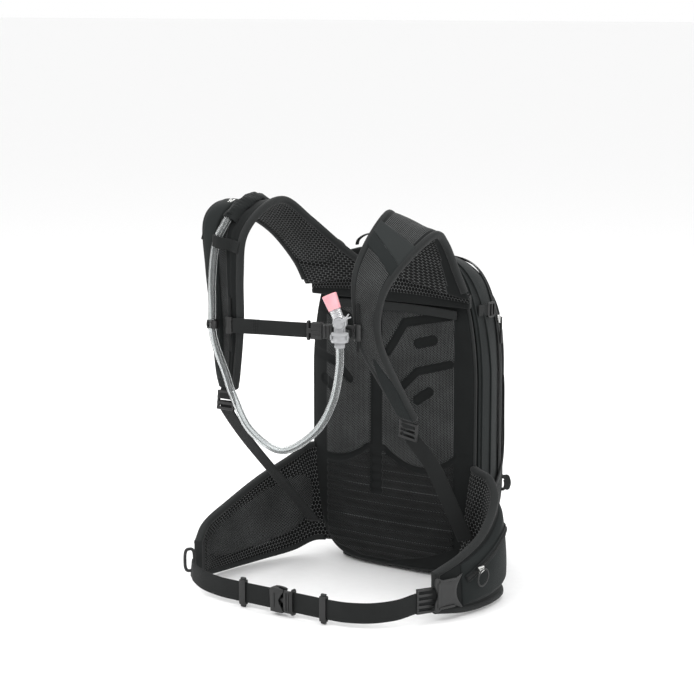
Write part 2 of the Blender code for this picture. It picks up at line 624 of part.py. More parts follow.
def valve():
    stem = turned("valve_body", [(0, .0145), (.0056, .0145), (.0056, .0065), (.0098, .0055), (.0102, .0025),
                                 (.0085, .0010), (.0085, -.0010), (.0102, -.0030), (.0098, -.0062),
                                 (0, -.0065)],
                  VALVE, None, VALVE_CLEAR)
    housing = turned("valve_housing",
                     [(0, .0062), (.0078, .0062), (.0082, .0055), (.0082, -.0055), (0, -.0060)],
                     DIAL, axes((0, 0, 1), DIAL_AXIS), VALVE_CLEAR)
    neck = turned("valve_neck", [(0, .0160), (.0062, .0160), (.0066, .0040), (0, .0040)],
                  DIAL, axes((1, 0, 0), MOUTH_LEAN), VALVE_CLEAR)
    for cutter in (housing, neck):
        PARTS.objects.unlink(cutter)
        CUTTERS.objects.link(cutter)
    join(stem, housing, neck)
    turned("valve_mouthpiece", [(0, .0355), (.0078, .0350), (.0088, .0320), (.0084, .0165), (0, .0165)],
           DIAL, axes((1, 0, 0), MOUTH_LEAN), VALVE_SILICONE)
    hub = turned("valve_lever", [(0, .0085), (.0060, .0085), (.0064, .0078), (.0064, .0066), (0, .0066)],
                 DIAL, axes((0, 0, 1), DIAL_AXIS), VALVE_CLEAR)
    side = DIAL_AXIS.cross(Vector((0, 0, 1))).normalized() * -1
    reach = (side * 0.8 + Vector((0, 0, 0.6))).normalized()
    arm = box("valve_arm", (0.0150, 0.0030, 0.0018), DIAL + DIAL_AXIS * 0.0077 + reach * 0.0085, VALVE_CLEAR,
              axes(reach, DIAL_AXIS), collection=CUTTERS)
    join(hub, arm)


# ---------------------------------------------------------------- the hip belt
WING_LEFT_TOP = smooth([(-.1300, -.077, .150), (-.141, -.105, .136), (-.158, -.150, .115),
                        (-.168, -.200, .092),
                        (-.170, -.245, .074), (-.160, -.276, .056)], 3)
WING_LEFT_LOW = smooth([(-.1300, -.077, .020), (-.141, -.105, .009), (-.158, -.150, .003),
                        (-.168, -.200, .0005),
                        (-.170, -.245, .0025), (-.160, -.276, .010)], 3)
WING_RIGHT_TOP = smooth([(.1300, -.077, .150), (.150, -.082, .142), (.170, -.104, .122), (.177, -.142, .092),
                         (.173, -.185, .072), (.160, -.226, .056)], 3)
WING_RIGHT_LOW = smooth([(.1300, -.077, .020), (.152, -.080, .010), (.178, -.102, .003), (.186, -.142, .0005),
                         (.180, -.187, .0005), (.163, -.228, .008)], 3)


def wing_pocket(name, top, low, side):
    """A flat zipped pocket on the outside of a wing, a little swollen."""
    middle, half, across, normal = frames(low, top)
    outward = normal * np.sign(normal[:, :1] * side)
    rings = []
    picks = range(4, 13)
    for k, i in enumerate(picks):
        swell = 0.0025 + 0.0065 * math.sin(math.pi * (k + 0.5) / len(picks)) ** 0.5
        base = WING_THICKNESS / 2 + 0.0008
        shares = [-.72, -.72, -.45, .0, .45, .72, .72]
        lifts = [base, base + .0015, base + swell, base + swell, base + swell, base + .0015, base]
        rings.append([middle[i] + across[i] * half[i] * s + outward[i] * h for s, h in zip(shares, lifts)])
    loft(name, rings, PACK_CLOTH)
    i = 11
    seat = middle[i] + across[i] * half[i] * 0.35 + outward[i] * (WING_THICKNESS / 2 + 0.0125)
    ahead = Vector(middle[i + 2] - middle[i - 2]).normalized()
    return Vector(seat), Vector(outward[i]), ahead


BELT_LEFT = [(-.0125, -.3165, BELT_Z), (-.040, -.3165, BELT_Z), (-.070, -.3165, BELT_Z),
             (-.094, -.3160, .0185),
             (-.122, -.3125, .0210), (-.142, -.3050, .0250), (-.152, -.2985, .0285)]
BELT_RIGHT = [(.0105, -.3165, BELT_Z), (.040, -.3165, BELT_Z), (.070, -.3165, BELT_Z), (.096, -.3130, .0180),
              (.122, -.3000, .0185), (.142, -.2790, .0205), (.1525, -.2570, .0240)]


def hip_belt():
    ribbon("hip_wing_left", WING_LEFT_LOW, WING_LEFT_TOP, WING_THICKNESS, SPACER_MESH)
    ribbon("hip_wing_right", WING_RIGHT_LOW, WING_RIGHT_TOP, WING_THICKNESS, SPACER_MESH)
    wing_pocket("hip_pocket_left", WING_LEFT_TOP, WING_LEFT_LOW, -1)
    seat, out, ahead = wing_pocket("hip_pocket_right", WING_RIGHT_TOP, WING_RIGHT_LOW, 1)
    zip_slider("hip_zip_slider_right", seat, ahead.cross(out), out)
    seat = seat + out * 0.0034
    ring = [ahead * (0.0095 * math.sin(a)) + Vector((0, 0, 0.0100 * math.cos(a) - 0.0100))
            for a in np.linspace(0, 2 * math.pi, 14, endpoint=False)]
    tube("hip_zip_pull_right", [seat + p for p in ring], 0.0009, BUCKLE_PLASTIC, at=seat, closed=True)
    strip("hip_webbing_left", smooth(BELT_LEFT, 3), (0, 0, 1), BELT_WEBBING, WEBBING)
    strip("hip_webbing_right", smooth(BELT_RIGHT, 3), (0, 0, 1), BELT_WEBBING, WEBBING)
    # the oval loop that the left webbing passes through, at the wing's end
    plate("hip_loop_left", [rounded(0.016, 0.032, 0.0075), rounded(0.008, 0.0245, 0.0035)], 0.0030,
          (-.1605, -.2920, .0355), axes((-.62, -.78, 0), (-.78, .62, 0)), BUCKLE_PLASTIC)
    # the moulded plate on the right wing and the adjuster between it and the webbing
    ahead = Vector((-.30, -.95, 0)).normalized()
    out = Vector((.95, -.30, 0))
    star = [(-.020, -.021), (.000, -.017), (.020, -.021), (.022, -.010), (.018, .000), (.022, .010),
            (.020, .021),
            (.000, .017), (-.020, .021), (-.010, .000)]
    plate("hip_plate_right", [star], 0.0024, (.1780, -.2190, .0330), axes(ahead, out), BUCKLE_PLASTIC)
    plate("hip_adjuster_right", [rounded(0.024, 0.031, 0.003), rounded(0.0042, 0.0255, 0.001, -0.0065),
                                 rounded(0.0042, 0.0255, 0.001, 0.0055)], 0.0032,
          (.1600, -.2440, .0265), axes((-.47, -.88, 0), (.88, -.47, 0)), BUCKLE_PLASTIC)
    # strap keepers
    for name, x in (("left", -0.0560), ("right", 0.0640)):
        plate("hip_keeper_" + name, [rounded(0.0310, 0.0070, 0.0015), rounded(0.0262, 0.0028, 0.0008)],
              0.0090,
              (x, -0.3165, BELT_Z), axes((0, 0, 1), (1, 0, 0)), BUCKLE_PLASTIC)
    hip_buckle()


def hip_buckle():
    """Side-release buckle: a socket fixed to the left webbing, a plug that draws back along the right one."""
    at = Vector((0.0, -0.3165, BELT_Z))
    flat = axes((1, 0, 0), (0, 0, 1))
    socket = [(-.0120, -.0052), (.0065, -.0052), (.0065, -.0034), (-.0085, -.0034), (-.0085, .0034),
              (.0065, .0034), (.0065, .0052), (-.0120, .0052)]
    plate("hip_buckle_socket", [socket], 0.0290, at, flat, BUCKLE_PLASTIC)
    carrier = empty("hip_buckle_release", at)
    tongue = box("hip_buckle_plug", (0.0160, 0.0042, 0.0075), (0.0015, 0, 0), BUCKLE_PLASTIC, parent=carrier)
    shoulder = box("plug_shoulder", (0.0120, 0.0028, 0.0280), (0.0135, -0.0036, 0), None, parent=carrier,
                   collection=CUTTERS)
    bridge = box("plug_bridge", (0.0020, 0.0060, 0.0100), (0.0085, -0.0010, 0), None, parent=carrier,
                 collection=CUTTERS)
    ring = plate("plug_ring", [rounded(0.0310, 0.0090, 0.001), rounded(0.0262, 0.0032, 0.0005)], 0.0040,
                 (0.0195, 0, 0), axes((0, 0, 1), (1, 0, 0)), None, carrier, CUTTERS)
    rest = box("plug_rest", (0.0070, 0.0016, 0.0200), (0.0180, -0.0030, 0), None, parent=carrier,
               collection=CUTTERS)
    join(tongue, shoulder, bridge, ring, rest)
    for name, side in (("upper", 1), ("lower", -1)):
        hinge = empty("hip_prong_" + name + "_flex", at + Vector((0.0065, 0.0, side * 0.0105)))
        prong = [(.0000, -.0014), (-.0110, -.0016), (-.0120, .0010), (-.0100, .0032), (-.0070, .0018),
                 (.0000, .0014)]
        prong = [(px, py * side) for px, py in prong]
        plate("hip_prong_" + name, [prong], 0.0040, (0, 0, 0), axes((1, 0, 0), (0, -1, 0)),
              BUCKLE_PLASTIC, hinge)


bag()
bag_zip_pulls()
reservoir()
harness()
hose()
hose_sleeve()
hose_keeper()
sternum()
valve()
hip_belt()
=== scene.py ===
# %% [markdown]
# A hydration pack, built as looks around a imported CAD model. The CAD model, called the frame here, says where
# each piece is and how it moves. This script gives each piece its real surface: mesh with its foam under it,
# bound edges, webbing, moulded buckles, a clear hose. Every length is in metres. The pack stands on its base,
# harness towards -Y, and left and right are as one sees them when one looks at the harness.

# %% Load the frame
import math

import bpy
import numpy as np
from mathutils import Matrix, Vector


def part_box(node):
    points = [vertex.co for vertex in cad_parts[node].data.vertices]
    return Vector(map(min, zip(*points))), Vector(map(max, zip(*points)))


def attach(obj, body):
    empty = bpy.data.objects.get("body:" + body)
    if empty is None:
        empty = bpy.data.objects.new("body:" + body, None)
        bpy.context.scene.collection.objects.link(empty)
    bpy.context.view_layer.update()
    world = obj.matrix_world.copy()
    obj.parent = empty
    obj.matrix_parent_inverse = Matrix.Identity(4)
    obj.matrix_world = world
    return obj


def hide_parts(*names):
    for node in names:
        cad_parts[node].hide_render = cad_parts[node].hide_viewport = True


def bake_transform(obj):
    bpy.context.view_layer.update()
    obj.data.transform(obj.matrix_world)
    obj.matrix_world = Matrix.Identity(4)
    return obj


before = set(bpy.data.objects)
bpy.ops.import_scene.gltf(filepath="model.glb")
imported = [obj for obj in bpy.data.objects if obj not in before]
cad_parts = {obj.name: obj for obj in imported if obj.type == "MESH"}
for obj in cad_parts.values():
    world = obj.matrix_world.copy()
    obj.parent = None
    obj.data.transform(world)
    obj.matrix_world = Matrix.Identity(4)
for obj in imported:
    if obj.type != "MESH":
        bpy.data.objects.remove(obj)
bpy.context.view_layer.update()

# %% [markdown]
# The camera comes first, because every later choice is looked at through it. The pack is seen from its right
# front, from a little above, with a long lens, so its upright edges stay almost parallel.

# %% Camera
AZIMUTH, PITCH = math.radians(35.0), math.radians(9.84)


def put(name, data):
    """A new object in the scene that shows this data."""
    made = bpy.data.objects.new(name, data)
    bpy.context.scene.collection.objects.link(made)
    return made


lens = bpy.data.cameras.new("camera")
lens.sensor_width, lens.lens, lens.clip_start = 36.0, 103.746, 0.05
camera = put("camera", lens)
camera.location = (1.39328, -2.1668, 0.72741)
camera.rotation_euler = (math.pi / 2 - PITCH, 0.0, AZIMUTH)
bpy.context.scene.camera = camera
print("camera stands", round(camera.location.length, 3), "m from the origin")

# %% [markdown]
# Every piece is a set of closed rows of points. One function joins neighbours into quads and writes a UV map
# whose unit is one metre measured on the surface, so a weave keeps its real scale on a bent strap. A float
# attribute can ride along, to tell a material where one cloth ends and the next begins.

# %% Rows of points into a mesh
def skin(name, grids, ends="cap", zone=None):
    """Join grids, each an array (rows, columns, 3) of closed rows, into one mesh whose faces look outwards.

    Quad (i, j) has corners (i, j), (i, j+1), (i+1, j+1), (i+1, j); the last column joins the first. ends is
    "cap" for a fan round the middle of the first and last row, or "loop" to join the last row to the first.
    UV: u is the mean distance from row to row, v the mean distance along the rows.
    """
    travel = lambda cells, axis: np.concatenate([[0],
        np.cumsum(np.linalg.norm(np.diff(cells, axis=axis), axis=2).mean(1 - axis))])
    points, faces, uvs, zones, base = [], [], [], [], 0
    for k, grid in enumerate(grids):
        grid = np.asarray(grid, float)
        rows, cols = grid.shape[:2]
        u = travel(np.concatenate([grid, grid[:1]], 0) if ends == "loop" else grid, 0)
        v = travel(np.concatenate([grid, grid[:, :1]], 1), 1)
        i, j = np.ogrid[:len(u) - 1, :cols]
        after, right = (i + 1) % rows * cols, (j + 1) % cols
        quads = np.stack([i * cols + j, i * cols + right, after + right, after + j], 2)
        faces.append(quads.reshape(-1, 4) + base)
        at = np.stack(np.broadcast_arrays(u[:, None], v), 2)
        uvs.append(np.stack([at[:-1, :-1], at[:-1, 1:], at[1:, 1:], at[1:, :-1]], 2).reshape(-1, 2))
        points.append(grid.reshape(-1, 3))
        count = rows * cols
        for row, order in ((0, [1, 0, 2]), (rows - 1, [0, 1, 2])) if ends == "cap" else ():
            index, flat = base + row * cols + np.arange(cols), grid[row][:, ::2]
            fan = np.stack([index, np.roll(index, -1), np.full(cols, base + count)], 1)
            trio = np.stack([flat, np.roll(flat, -1, 0), np.broadcast_to(flat.mean(0), flat.shape)], 1)
            faces.append(fan[:, order])
            uvs.append(trio[:, order].reshape(-1, 2))
            points.append(grid[row].mean(0)[None])
            count += 1
        base += count
        if zone is not None:
            values = np.broadcast_to(zone[k], (rows, cols)).ravel()
            zones.append(np.append(values, np.repeat(values[:1], count - rows * cols)))
    points, corners = np.concatenate(points), np.concatenate([f.ravel() for f in faces])
    sizes = np.concatenate([np.full(len(f), f.shape[1]) for f in faces])
    starts = np.cumsum(sizes) - sizes
    mesh = bpy.data.meshes.new(name)
    for part, field, values, kind in ((mesh.vertices, "co", points, np.float32),
            (mesh.loops, "vertex_index", corners, np.int32), (mesh.polygons, "loop_start", starts, np.int32)):
        part.add(len(values))
        part.foreach_set(field, np.ascontiguousarray(values, kind).ravel())
    mesh.update(calc_edges=True)
    mesh.uv_layers.new(name="cloth").data.foreach_set("uv", np.concatenate(uvs).astype(np.float32).ravel())
    if zone is not None:
        mesh.attributes.new("zone", "FLOAT", "POINT").data.foreach_set("value",
            np.concatenate(zones).astype(np.float32))
    here = points[corners]
    after = np.roll(here, -1, 0)
    after[starts + sizes - 1] = here[starts]
    if np.einsum("ij,ij->", np.repeat(here[starts], sizes, 0), np.cross(here, after)) < 0:
        mesh.flip_normals()
    mesh.shade_smooth()
    return put(name, mesh)


print("helper ready: skin")

# %% [markdown]
# A smooth curve through a few listed points is enough for any strap or hose: the Catmull-Rom curve
# passes through every point it is given. Across a strap the section is a flat oval, rounded at its edges.

# %% Curves and sections
def smooth(points, per_span):
    """Catmull-Rom curve: between points b and c, half of 2b + (c-a)t + (2a-5b+4c-d)t2 + (3b-a-3c+d)t3."""
    p = np.array(points, float)
    q = np.vstack([2 * p[0] - p[1], p, 2 * p[-1] - p[-2]])
    t = np.linspace(0, 1, per_span, endpoint=False)[:, None]
    spans = [0.5 * (2 * b + (c - a) * t + (2 * a - 5 * b + 4 * c - d) * t ** 2 + (3 * b - a - 3 * c + d) * t
        ** 3) for a, b, c, d in zip(q, q[1:], q[2:], q[3:])]
    return np.vstack(spans + [p[-1:]])


def unit(v):
    """Vectors divided by their length."""
    v = np.asarray(v, float)
    return v / np.maximum(np.linalg.norm(v, axis=-1, keepdims=True), 1e-12)


def length_of(path):
    """Length of a chain of points."""
    return float(np.linalg.norm(np.diff(path, axis=0), axis=1).sum())


def corner_round(angle, square):
    """Radius of the curve |x| to the power n plus |y| to the power n is one; n = 2 is a circle."""
    return (np.abs(np.cos(angle)) ** square + np.abs(np.sin(angle)) ** square) ** (-1 / square)


def superoval(count, half_width, half_height, square=4.0):
    """Closed section: a circle squared off and stretched to its half width and half height."""
    a = np.linspace(0, 2 * np.pi, count, endpoint=False)
    r = corner_round(a, square)
    return np.stack([half_width * np.cos(a) * r, half_height * np.sin(a) * r], 1)


def carry(path, side, section, grow=None, closed=False):
    """Carry a section along a path: each point is path + side*x + up*y, up being square to side and path.

    grow scales the section at each station, so an end can be rounded off.
    """
    path = np.asarray(path, float)
    ahead = unit(np.roll(path, -1, 0) - np.roll(path, 1, 0)) if closed else unit(np.gradient(path, axis=0))
    side = np.broadcast_to(np.asarray(side, float), path.shape)
    side = unit(side - ahead * (side * ahead).sum(1, keepdims=True))
    up = np.cross(side, ahead)
    grow = np.ones(len(path)) if grow is None else np.asarray(grow)
    section = np.broadcast_to(section, (len(path),) + np.shape(section)[-2:]) * grow[:, None, None]
    return path[:, None] + side[:, None] * section[..., :1] + up[:, None] * section[..., 1:]


def round_ends(path, reach):
    """Stations for a rounded end: extra points at both ends, and how much the section shrinks there."""
    path = np.asarray(path, float)
    a, b = unit(path[0] - path[1]), unit(path[-1] - path[-2])
    t = np.sin(np.linspace(0, 1, 5)[1:] * np.pi / 2)
    shrink = np.sqrt(np.maximum(1 - t ** 2, 0.02))
    stations = np.vstack([(path[0] + a * reach * t[:, None])[::-1], path, path[-1] + b * reach * t[:, None]])
    return stations, np.concatenate([shrink[::-1], np.ones(len(path)), shrink])


print("helpers ready: smooth, unit, length_of, corner_round, superoval, carry, round_ends")

# %% [markdown]
# Materials come next. A colour is written as the hex value a paint chart would give and turned to linear
# light once. One small function adds a node, with its settings and its links, and every recipe below is built
# from it.

# %% Colour and node helpers
def linear(code):
    """sRGB hex to linear: below 0.04045 a straight line, above it the power 2.4."""
    parts = [int(code[i:i + 2], 16) / 255 for i in (1, 3, 5)]
    return tuple(c / 12.92 if c <= 0.04045 else ((c + 0.055) / 1.055) ** 2.4 for c in parts) + (1.0,)


def add(tree, kind, inputs=None, **settings):
    """Add one node. inputs maps a socket's name or number to a value or to another node's output."""
    made = tree.nodes.new("ShaderNode" + kind)
    for key, value in settings.items():
        setattr(made, key, value)
    for key, value in (inputs or {}).items():
        if isinstance(value, bpy.types.NodeSocket):
            tree.links.new(value, made.inputs[key])
        else:
            made.inputs[key].default_value = value
    return made


def maths(tree, how, *values, kind="Math"):
    """Arithmetic on numbers, or on vectors when kind is VectorMath."""
    made = add(tree, kind, dict(enumerate(values)), operation=how)
    return made.outputs["Value" if how == "LENGTH" else 0]


def ramp(tree, *values, soft=False):
    """Map a value from one range to another: value, from low, from high, to low, to high."""
    shape = "SMOOTHSTEP" if soft else "LINEAR"
    return add(tree, "MapRange", dict(enumerate(values)), interpolation_type=shape).outputs[0]


def blend_colours(tree, share, low, high):
    """A colour between two others, hex or linked, by a share from 0 to 1."""
    low, high = (linear(c) if isinstance(c, str) else c for c in (low, high))
    return add(tree, "Mix", {0: share, 6: low, 7: high}, data_type="RGBA").outputs[2]


def uneven(tree, where, size, low, high):
    """Slow variation between low and high, for dye and handling; size is its length in metres."""
    cloud = add(tree, "TexNoise", {"Vector": where, "Scale": 1 / size, "Detail": 3.0}).outputs[0]
    return ramp(tree, cloud, 0.3, 0.7, low, high)


def finish_of(name, recipe, roughness, bump, **sockets):
    """A new material: recipe(tree) gives its colour and height; other values are the same all over.

    bump is the strength and the depth that the height stands for.
    """
    made = bpy.data.materials.new(name)
    made.use_nodes = True
    tree = made.node_tree
    shader = tree.nodes["Principled BSDF"]
    for key, value in dict(sockets, Roughness=roughness).items():
        shader.inputs[key.replace("_", " ")].default_value = value
    colour, height = recipe(tree)
    relief = add(tree, "Bump", {"Strength": bump[0], "Distance": bump[1], "Height": height})
    tree.links.new(colour, shader.inputs["Base Color"])
    tree.links.new(relief.outputs[0], shader.inputs["Normal"])
    return made


print("black cloth in linear light:", [round(c, 4) for c in linear("#2b2d2d")[:3]])

# %% [markdown]
# Woven cloth is two families of threads that cross. In webbing one family is stronger and shows as ribs.

# %% Woven cloths
def woven_cloth(name, low, high, thread, roughness=0.78, sheen=0.04, ribs=0.0, bump=0.35):
    """Plain weave: the product of two waves one thread wide, the second finer by the share called ribs."""
    def recipe(tree):
        uv = add(tree, "UVMap", uv_map="cloth").outputs[0]
        waves = [add(tree, "TexWave", {"Vector": uv, "Scale": 0.314 * scale / thread, "Distortion": 0.0},
            wave_type="BANDS", bands_direction=way).outputs["Fac"] for way,
            scale in (("X", 1.0), ("Y", 1.0 + ribs))]
        height = maths(tree, "MULTIPLY", *waves)
        share = maths(tree, "ADD", uneven(tree, uv, 0.06, 0.25, 0.75), height)
        return blend_colours(tree, maths(tree, "MULTIPLY", share, 0.5), low, high), height
    return finish_of(name, recipe, roughness, (bump, 0.0003), Sheen_Weight=sheen, Sheen_Roughness=0.4,
        Specular_IOR_Level=0.18)


PACK_CLOTH = "pack_cloth", woven_cloth("nylon_pack_cloth", "#131616", "#202424", 0.0009)
PANEL_CLOTH = "pack_cloth", woven_cloth("nylon_panel_cloth", "#1d2020", "#2f3232", 0.0009)
STRETCH_KNIT = woven_cloth("stretch_knit", "#101212", "#202323", 0.0012, 0.85, 0.06, 0.4, 0.5)
BINDING = "webbing", woven_cloth("knitted_binding_tape", "#1b1c1c", "#303232", 0.0011, 0.82, 0.08, 0.5, 0.5)
WEBBING = "webbing", woven_cloth("nylon_webbing", "#111212", "#262828", 0.0013, 0.75, 0.06, 0.8, 0.6)
KNIT = "stretch_cloth", STRETCH_KNIT
print("cloths:", len(bpy.data.materials))

# %% [markdown]
# Spacer mesh is a knitted net over foam: rows of round holes, each row shifted by half a hole. The nearest
# hole's centre is found on two square grids laid half a step apart, and the smaller distance wins, which
# gives the honeycomb order without any image. Holes are near black: the dark foam seen through them plus
# painted shade in them; the light grey yarn is its own tone plus a painted highlight.
#
# The net and the plain cloth often meet in one moulded pad, where foam is pressed down into channels. One
# material serves both: the attribute called zone is 0 in a pressed channel, 1 on the fine net, 2 on the open
# net and -1 where the fine net is darkened as painted shade, in the grooves between the lumbar ribs.

# %% Cloth that changes by zone
FINE_PITCH, OPEN_PITCH = 0.0021, 0.0047


def net(tree, uv, pitch, hole, soft):
    """Share of yarn, 0 within hole of the nearest hole's centre and 1 beyond hole + soft, both in pitches."""
    scaled = maths(tree, "MULTIPLY", uv, (1 / pitch, 1 / pitch, 0), kind="VectorMath")
    far = []
    for shift in (0.0, 0.5):
        moved = maths(tree, "ADD", scaled, (shift, shift * 1.732, 0), kind="VectorMath")
        folded = maths(tree, "WRAP", moved, (0.5, 0.866, 1.0), (-0.5, -0.866, -1.0), kind="VectorMath")
        far.append(maths(tree, "LENGTH", folded, kind="VectorMath"))
    return ramp(tree, maths(tree, "MINIMUM", *far), hole, hole + soft, 0.0, 1.0, soft=True)


def zoned(tree):
    """Colour and height by zone: nets over dark foam, holes with painted shade and yarn with a painted
    highlight, plain cloth where the zone is near 0, painted shade on the fine net where it is below 0.
    """
    uv = add(tree, "UVMap", uv_map="cloth").outputs[0]
    zone = add(tree, "Attribute", attribute_name="zone", attribute_type="GEOMETRY").outputs["Fac"]
    small, large = net(tree, uv, FINE_PITCH, 0.4, 0.12), net(tree, uv, OPEN_PITCH, 0.44, 0.09)
    is_net = ramp(tree, maths(tree, "ABSOLUTE", zone), 0.35, 0.65, soft=True)
    is_open = ramp(tree, zone, 1.4, 1.6, soft=True)
    pattern = add(tree, "Mix", {0: is_open, 2: small, 3: large}, data_type="FLOAT").outputs[0]
    # Painted shade: a zone below 0 cuts the yarn's tone to 0.3; the noise it is multiplied by is the yarn's own
    # uneven tone.
    yarn = maths(tree, "MULTIPLY", ramp(tree, zone, -0.6, -0.3, 0.3, 1.0), uneven(tree, uv, 0.04, 0.55, 1.0))
    # Painted light: the near-black holes are the foam's dark plus painted shade, the light grey yarn its own
    # tone plus a painted highlight.
    net_colour_and_painted_light = blend_colours(tree, maths(tree, "MULTIPLY", pattern, yarn), "#030404", "#747676")
    plain = blend_colours(tree, uneven(tree, uv, 0.05, 0.2, 0.8), "#0e1010", "#181a1a")
    return blend_colours(tree, is_net, plain, net_colour_and_painted_light), maths(tree, "MULTIPLY", pattern, is_net)


ZONED = "spacer_mesh", finish_of("moulded_net_and_cloth", zoned, 0.82, (0.7, 0.0004), Sheen_Weight=0.05,
    Sheen_Roughness=0.5, Specular_IOR_Level=0.14)
print("zoned cloth ready")

# %% [markdown]
# Hard pieces. Buckles are injection-moulded acetal: near black, a satin skin with a fine spark texture. The
# sliders are die-cast zinc, plated bright. The hose is clear polyurethane: it lets light through and shows a
# bright line along each edge. The valve's housing is frosted, clear polycarbonate and its mouthpiece is soft
# tinted silicone.

# %% Plastics, metal and clear pieces
def plastic(name, dark, light, roughness, bump=0.15, **sockets):
    """A moulded solid: a very slight change of tone, and a spark-eroded grain 1.2 mm wide as bump."""
    def recipe(tree):
        where = add(tree, "TexCoord").outputs["Object"]
        grain = add(tree, "TexNoise", {"Vector": where, "Scale": 1 / 0.0012, "Detail": 2.0}).outputs[0]
        return blend_colours(tree, uneven(tree, where, 0.01, 0.2, 0.8), dark, light), grain
    return finish_of(name, recipe, roughness, (bump, 0.0001), **sockets)


ACETAL = plastic("moulded_acetal", "#0b0c0c", "#141515", 0.44)
MOULDED = "buckle_plastic", ACETAL
ZINC = "zip_metal", plastic("plated_zinc", "#b9bab8", "#dcdcda", 0.26, 0.05, Metallic=1.0)
COIL = "webbing", plastic("nylon_zip_coil", "#101111", "#1b1c1c", 0.5)
CLEAR = plastic("clear_polyurethane", "#cfd2d2", "#d8dbdb", 0.06, 0.0, Transmission_Weight=0.94, IOR=1.4)
HOUSING = "valve_clear", plastic("frosted_polycarbonate", "#b4b5b7", "#c6c7c9", 0.24, 0.08,
    Transmission_Weight=0.45, IOR=1.45)
SILICONE = "valve_silicone", plastic("tinted_silicone", "#d4959d", "#deaab0", 0.36, 0.05,
    Subsurface_Weight=0.25, Subsurface_Scale=0.004)
FILM = plastic("polyurethane_film", "#a9c4d2", "#c6d9e2", 0.22, Transmission_Weight=0.4, IOR=1.4)
BOARD = plastic("polyethylene_board", "#b9b9b4", "#cdcdc8", 0.5)
print("materials:", len(bpy.data.materials))

# %% [markdown]
# The straps and the belt's wings are the same thing made in different outlines: a foam pad between two
# cloths, its edge bound with knitted tape. The pad is a surface of two parameters, u along it and s across it
# from -1 to 1. Its thickness falls to nothing at the edge, where the tape wraps over it. A function of u and
# s says which cloth shows and how far the foam is pressed down, so seams, bands and channels are drawn in the
# same step.

# %% Pad and binding
def frames_of(edge_a, edge_b):
    """Middle, half width, direction across, and normal of the strip between two edges."""
    middle, span = (edge_a + edge_b) / 2, edge_b - edge_a
    half = np.linalg.norm(span, axis=1) / 2
    across = unit(span)
    normal = unit(np.cross(across, np.gradient(middle, axis=0)))
    return middle, half, across, normal


def on_pad(pad_frames, u, s, height):
    """Point at share u along, s across, and a height over the middle plane; arrays broadcast."""
    middle, half, across, normal = pad_frames
    at = np.asarray(u, float) * (len(middle) - 1)
    low = np.clip(np.floor(at).astype(int), 0, len(middle) - 2)
    t = (at - low)[..., None]
    mix = lambda values: values[low] * (1 - t) + values[low + 1] * t
    s, height = np.asarray(s, float)[..., None], np.asarray(height, float)[..., None]
    return mix(middle) + mix(across) * mix(half[:, None]) * s + unit(mix(normal)) * height


def step(value, start, width):
    """Smooth step: 0 before start, 1 after start + width, t2(3 - 2t) between."""
    t = np.clip((value - start) / width, 0, 1)
    return t * t * (3 - 2 * t)


def band(value, low, high, soft):
    """1 between low and high, falling to 0 outside over soft."""
    return step(value, low - soft, soft) * (1 - step(value, high, soft))


def pad(name, pad_frames, thickness, top, bottom, cols=44):
    """A pad: both faces are half the thickness times the root of 1 - s^6 off the middle plane, plus relief."""
    s = np.sin(np.linspace(-1, 1, cols) * np.pi / 2)
    u = np.linspace(0, 1, len(pad_frames[0]))
    U, S = np.meshgrid(u, s, indexing="ij")
    body = np.sqrt(np.maximum(1 - np.abs(S) ** 6, 0)) * thickness / 2
    fade = 1 - np.abs(S) ** 8
    (zone_top, rise_top), (zone_low, rise_low) = top(U, S), bottom(U, S)
    upper = on_pad(pad_frames, U, S, body + rise_top * fade)
    lower = on_pad(pad_frames, U, S, -body - rise_low * fade)
    ring = np.concatenate([upper, lower[:, ::-1][:, 1:-1]], 1)
    zone = np.concatenate([zone_top + 0 * U, (zone_low + 0 * U)[:, ::-1][:, 1:-1]], 1)
    return skin(name, [ring], zone=[zone])


TAPE_INSET = 0.0028


def edge_tape(name, paths, sides, half_height, half_width=0.004):
    """Binding tape: a flat oval carried along each edge, shifted inwards so that it folds over the pad."""
    section = superoval(18, half_width, half_height, 3.0)
    return skin(name, [carry(path + side * TAPE_INSET, side, section) for path, side in zip(paths, sides)])


def patch(name, pad_frames, u_edges, s_edges, height, thickness, rows=60, cols=24, relief=None):
    """Cloth laid on a pad: u_edges and s_edges are (start, end) or functions of the other share."""
    a, b = np.meshgrid(np.linspace(0, 1, rows), np.linspace(0, 1, cols), indexing="ij")
    u0, u1 = (e(b) if callable(e) else e for e in u_edges)
    u = u0 + (u1 - u0) * a
    s0, s1 = (e(u) if callable(e) else e for e in s_edges)
    s = s0 + (s1 - s0) * b
    rim = np.minimum(np.minimum(a, 1 - a) * 12, np.minimum(b, 1 - b) * 12).clip(0, 1) ** 0.5
    lift = height + np.sign(height) * thickness * rim + (relief(a, b) * rim if relief else 0)
    over, under = on_pad(pad_frames, u, s, lift), on_pad(pad_frames, u, s,
        height - np.sign(height) * thickness * 0.5)
    return skin(name, [np.concatenate([over, under[:, ::-1]], 1)])


def dress(piece, look, *nodes, body="pack"):
    """Give a piece its material, its body and its CAD nodes; a blended piece gets no body here."""
    slot, finish = look
    piece.data.materials.clear()
    piece.data.materials.append(finish)
    if body:
        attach(piece, body)
    if nodes:
        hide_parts(*nodes)
    return piece


def make(name, grids, look, *nodes, body="pack", ends="cap", zone=None):
    """Skin the grids and dress the piece."""
    return dress(skin(name, grids, ends, zone), look, *nodes, body=body)


print("helpers ready: pad, edge_tape, patch, dress")

# %% [markdown]
# The shoulder straps. Each runs from the yoke over the shoulder and down to its ladder lock. The side towards
# the wearer is net, the outer side is cloth with a long pocket. A pressed line across the inner side marks
# where the strap is sewn to the yoke.

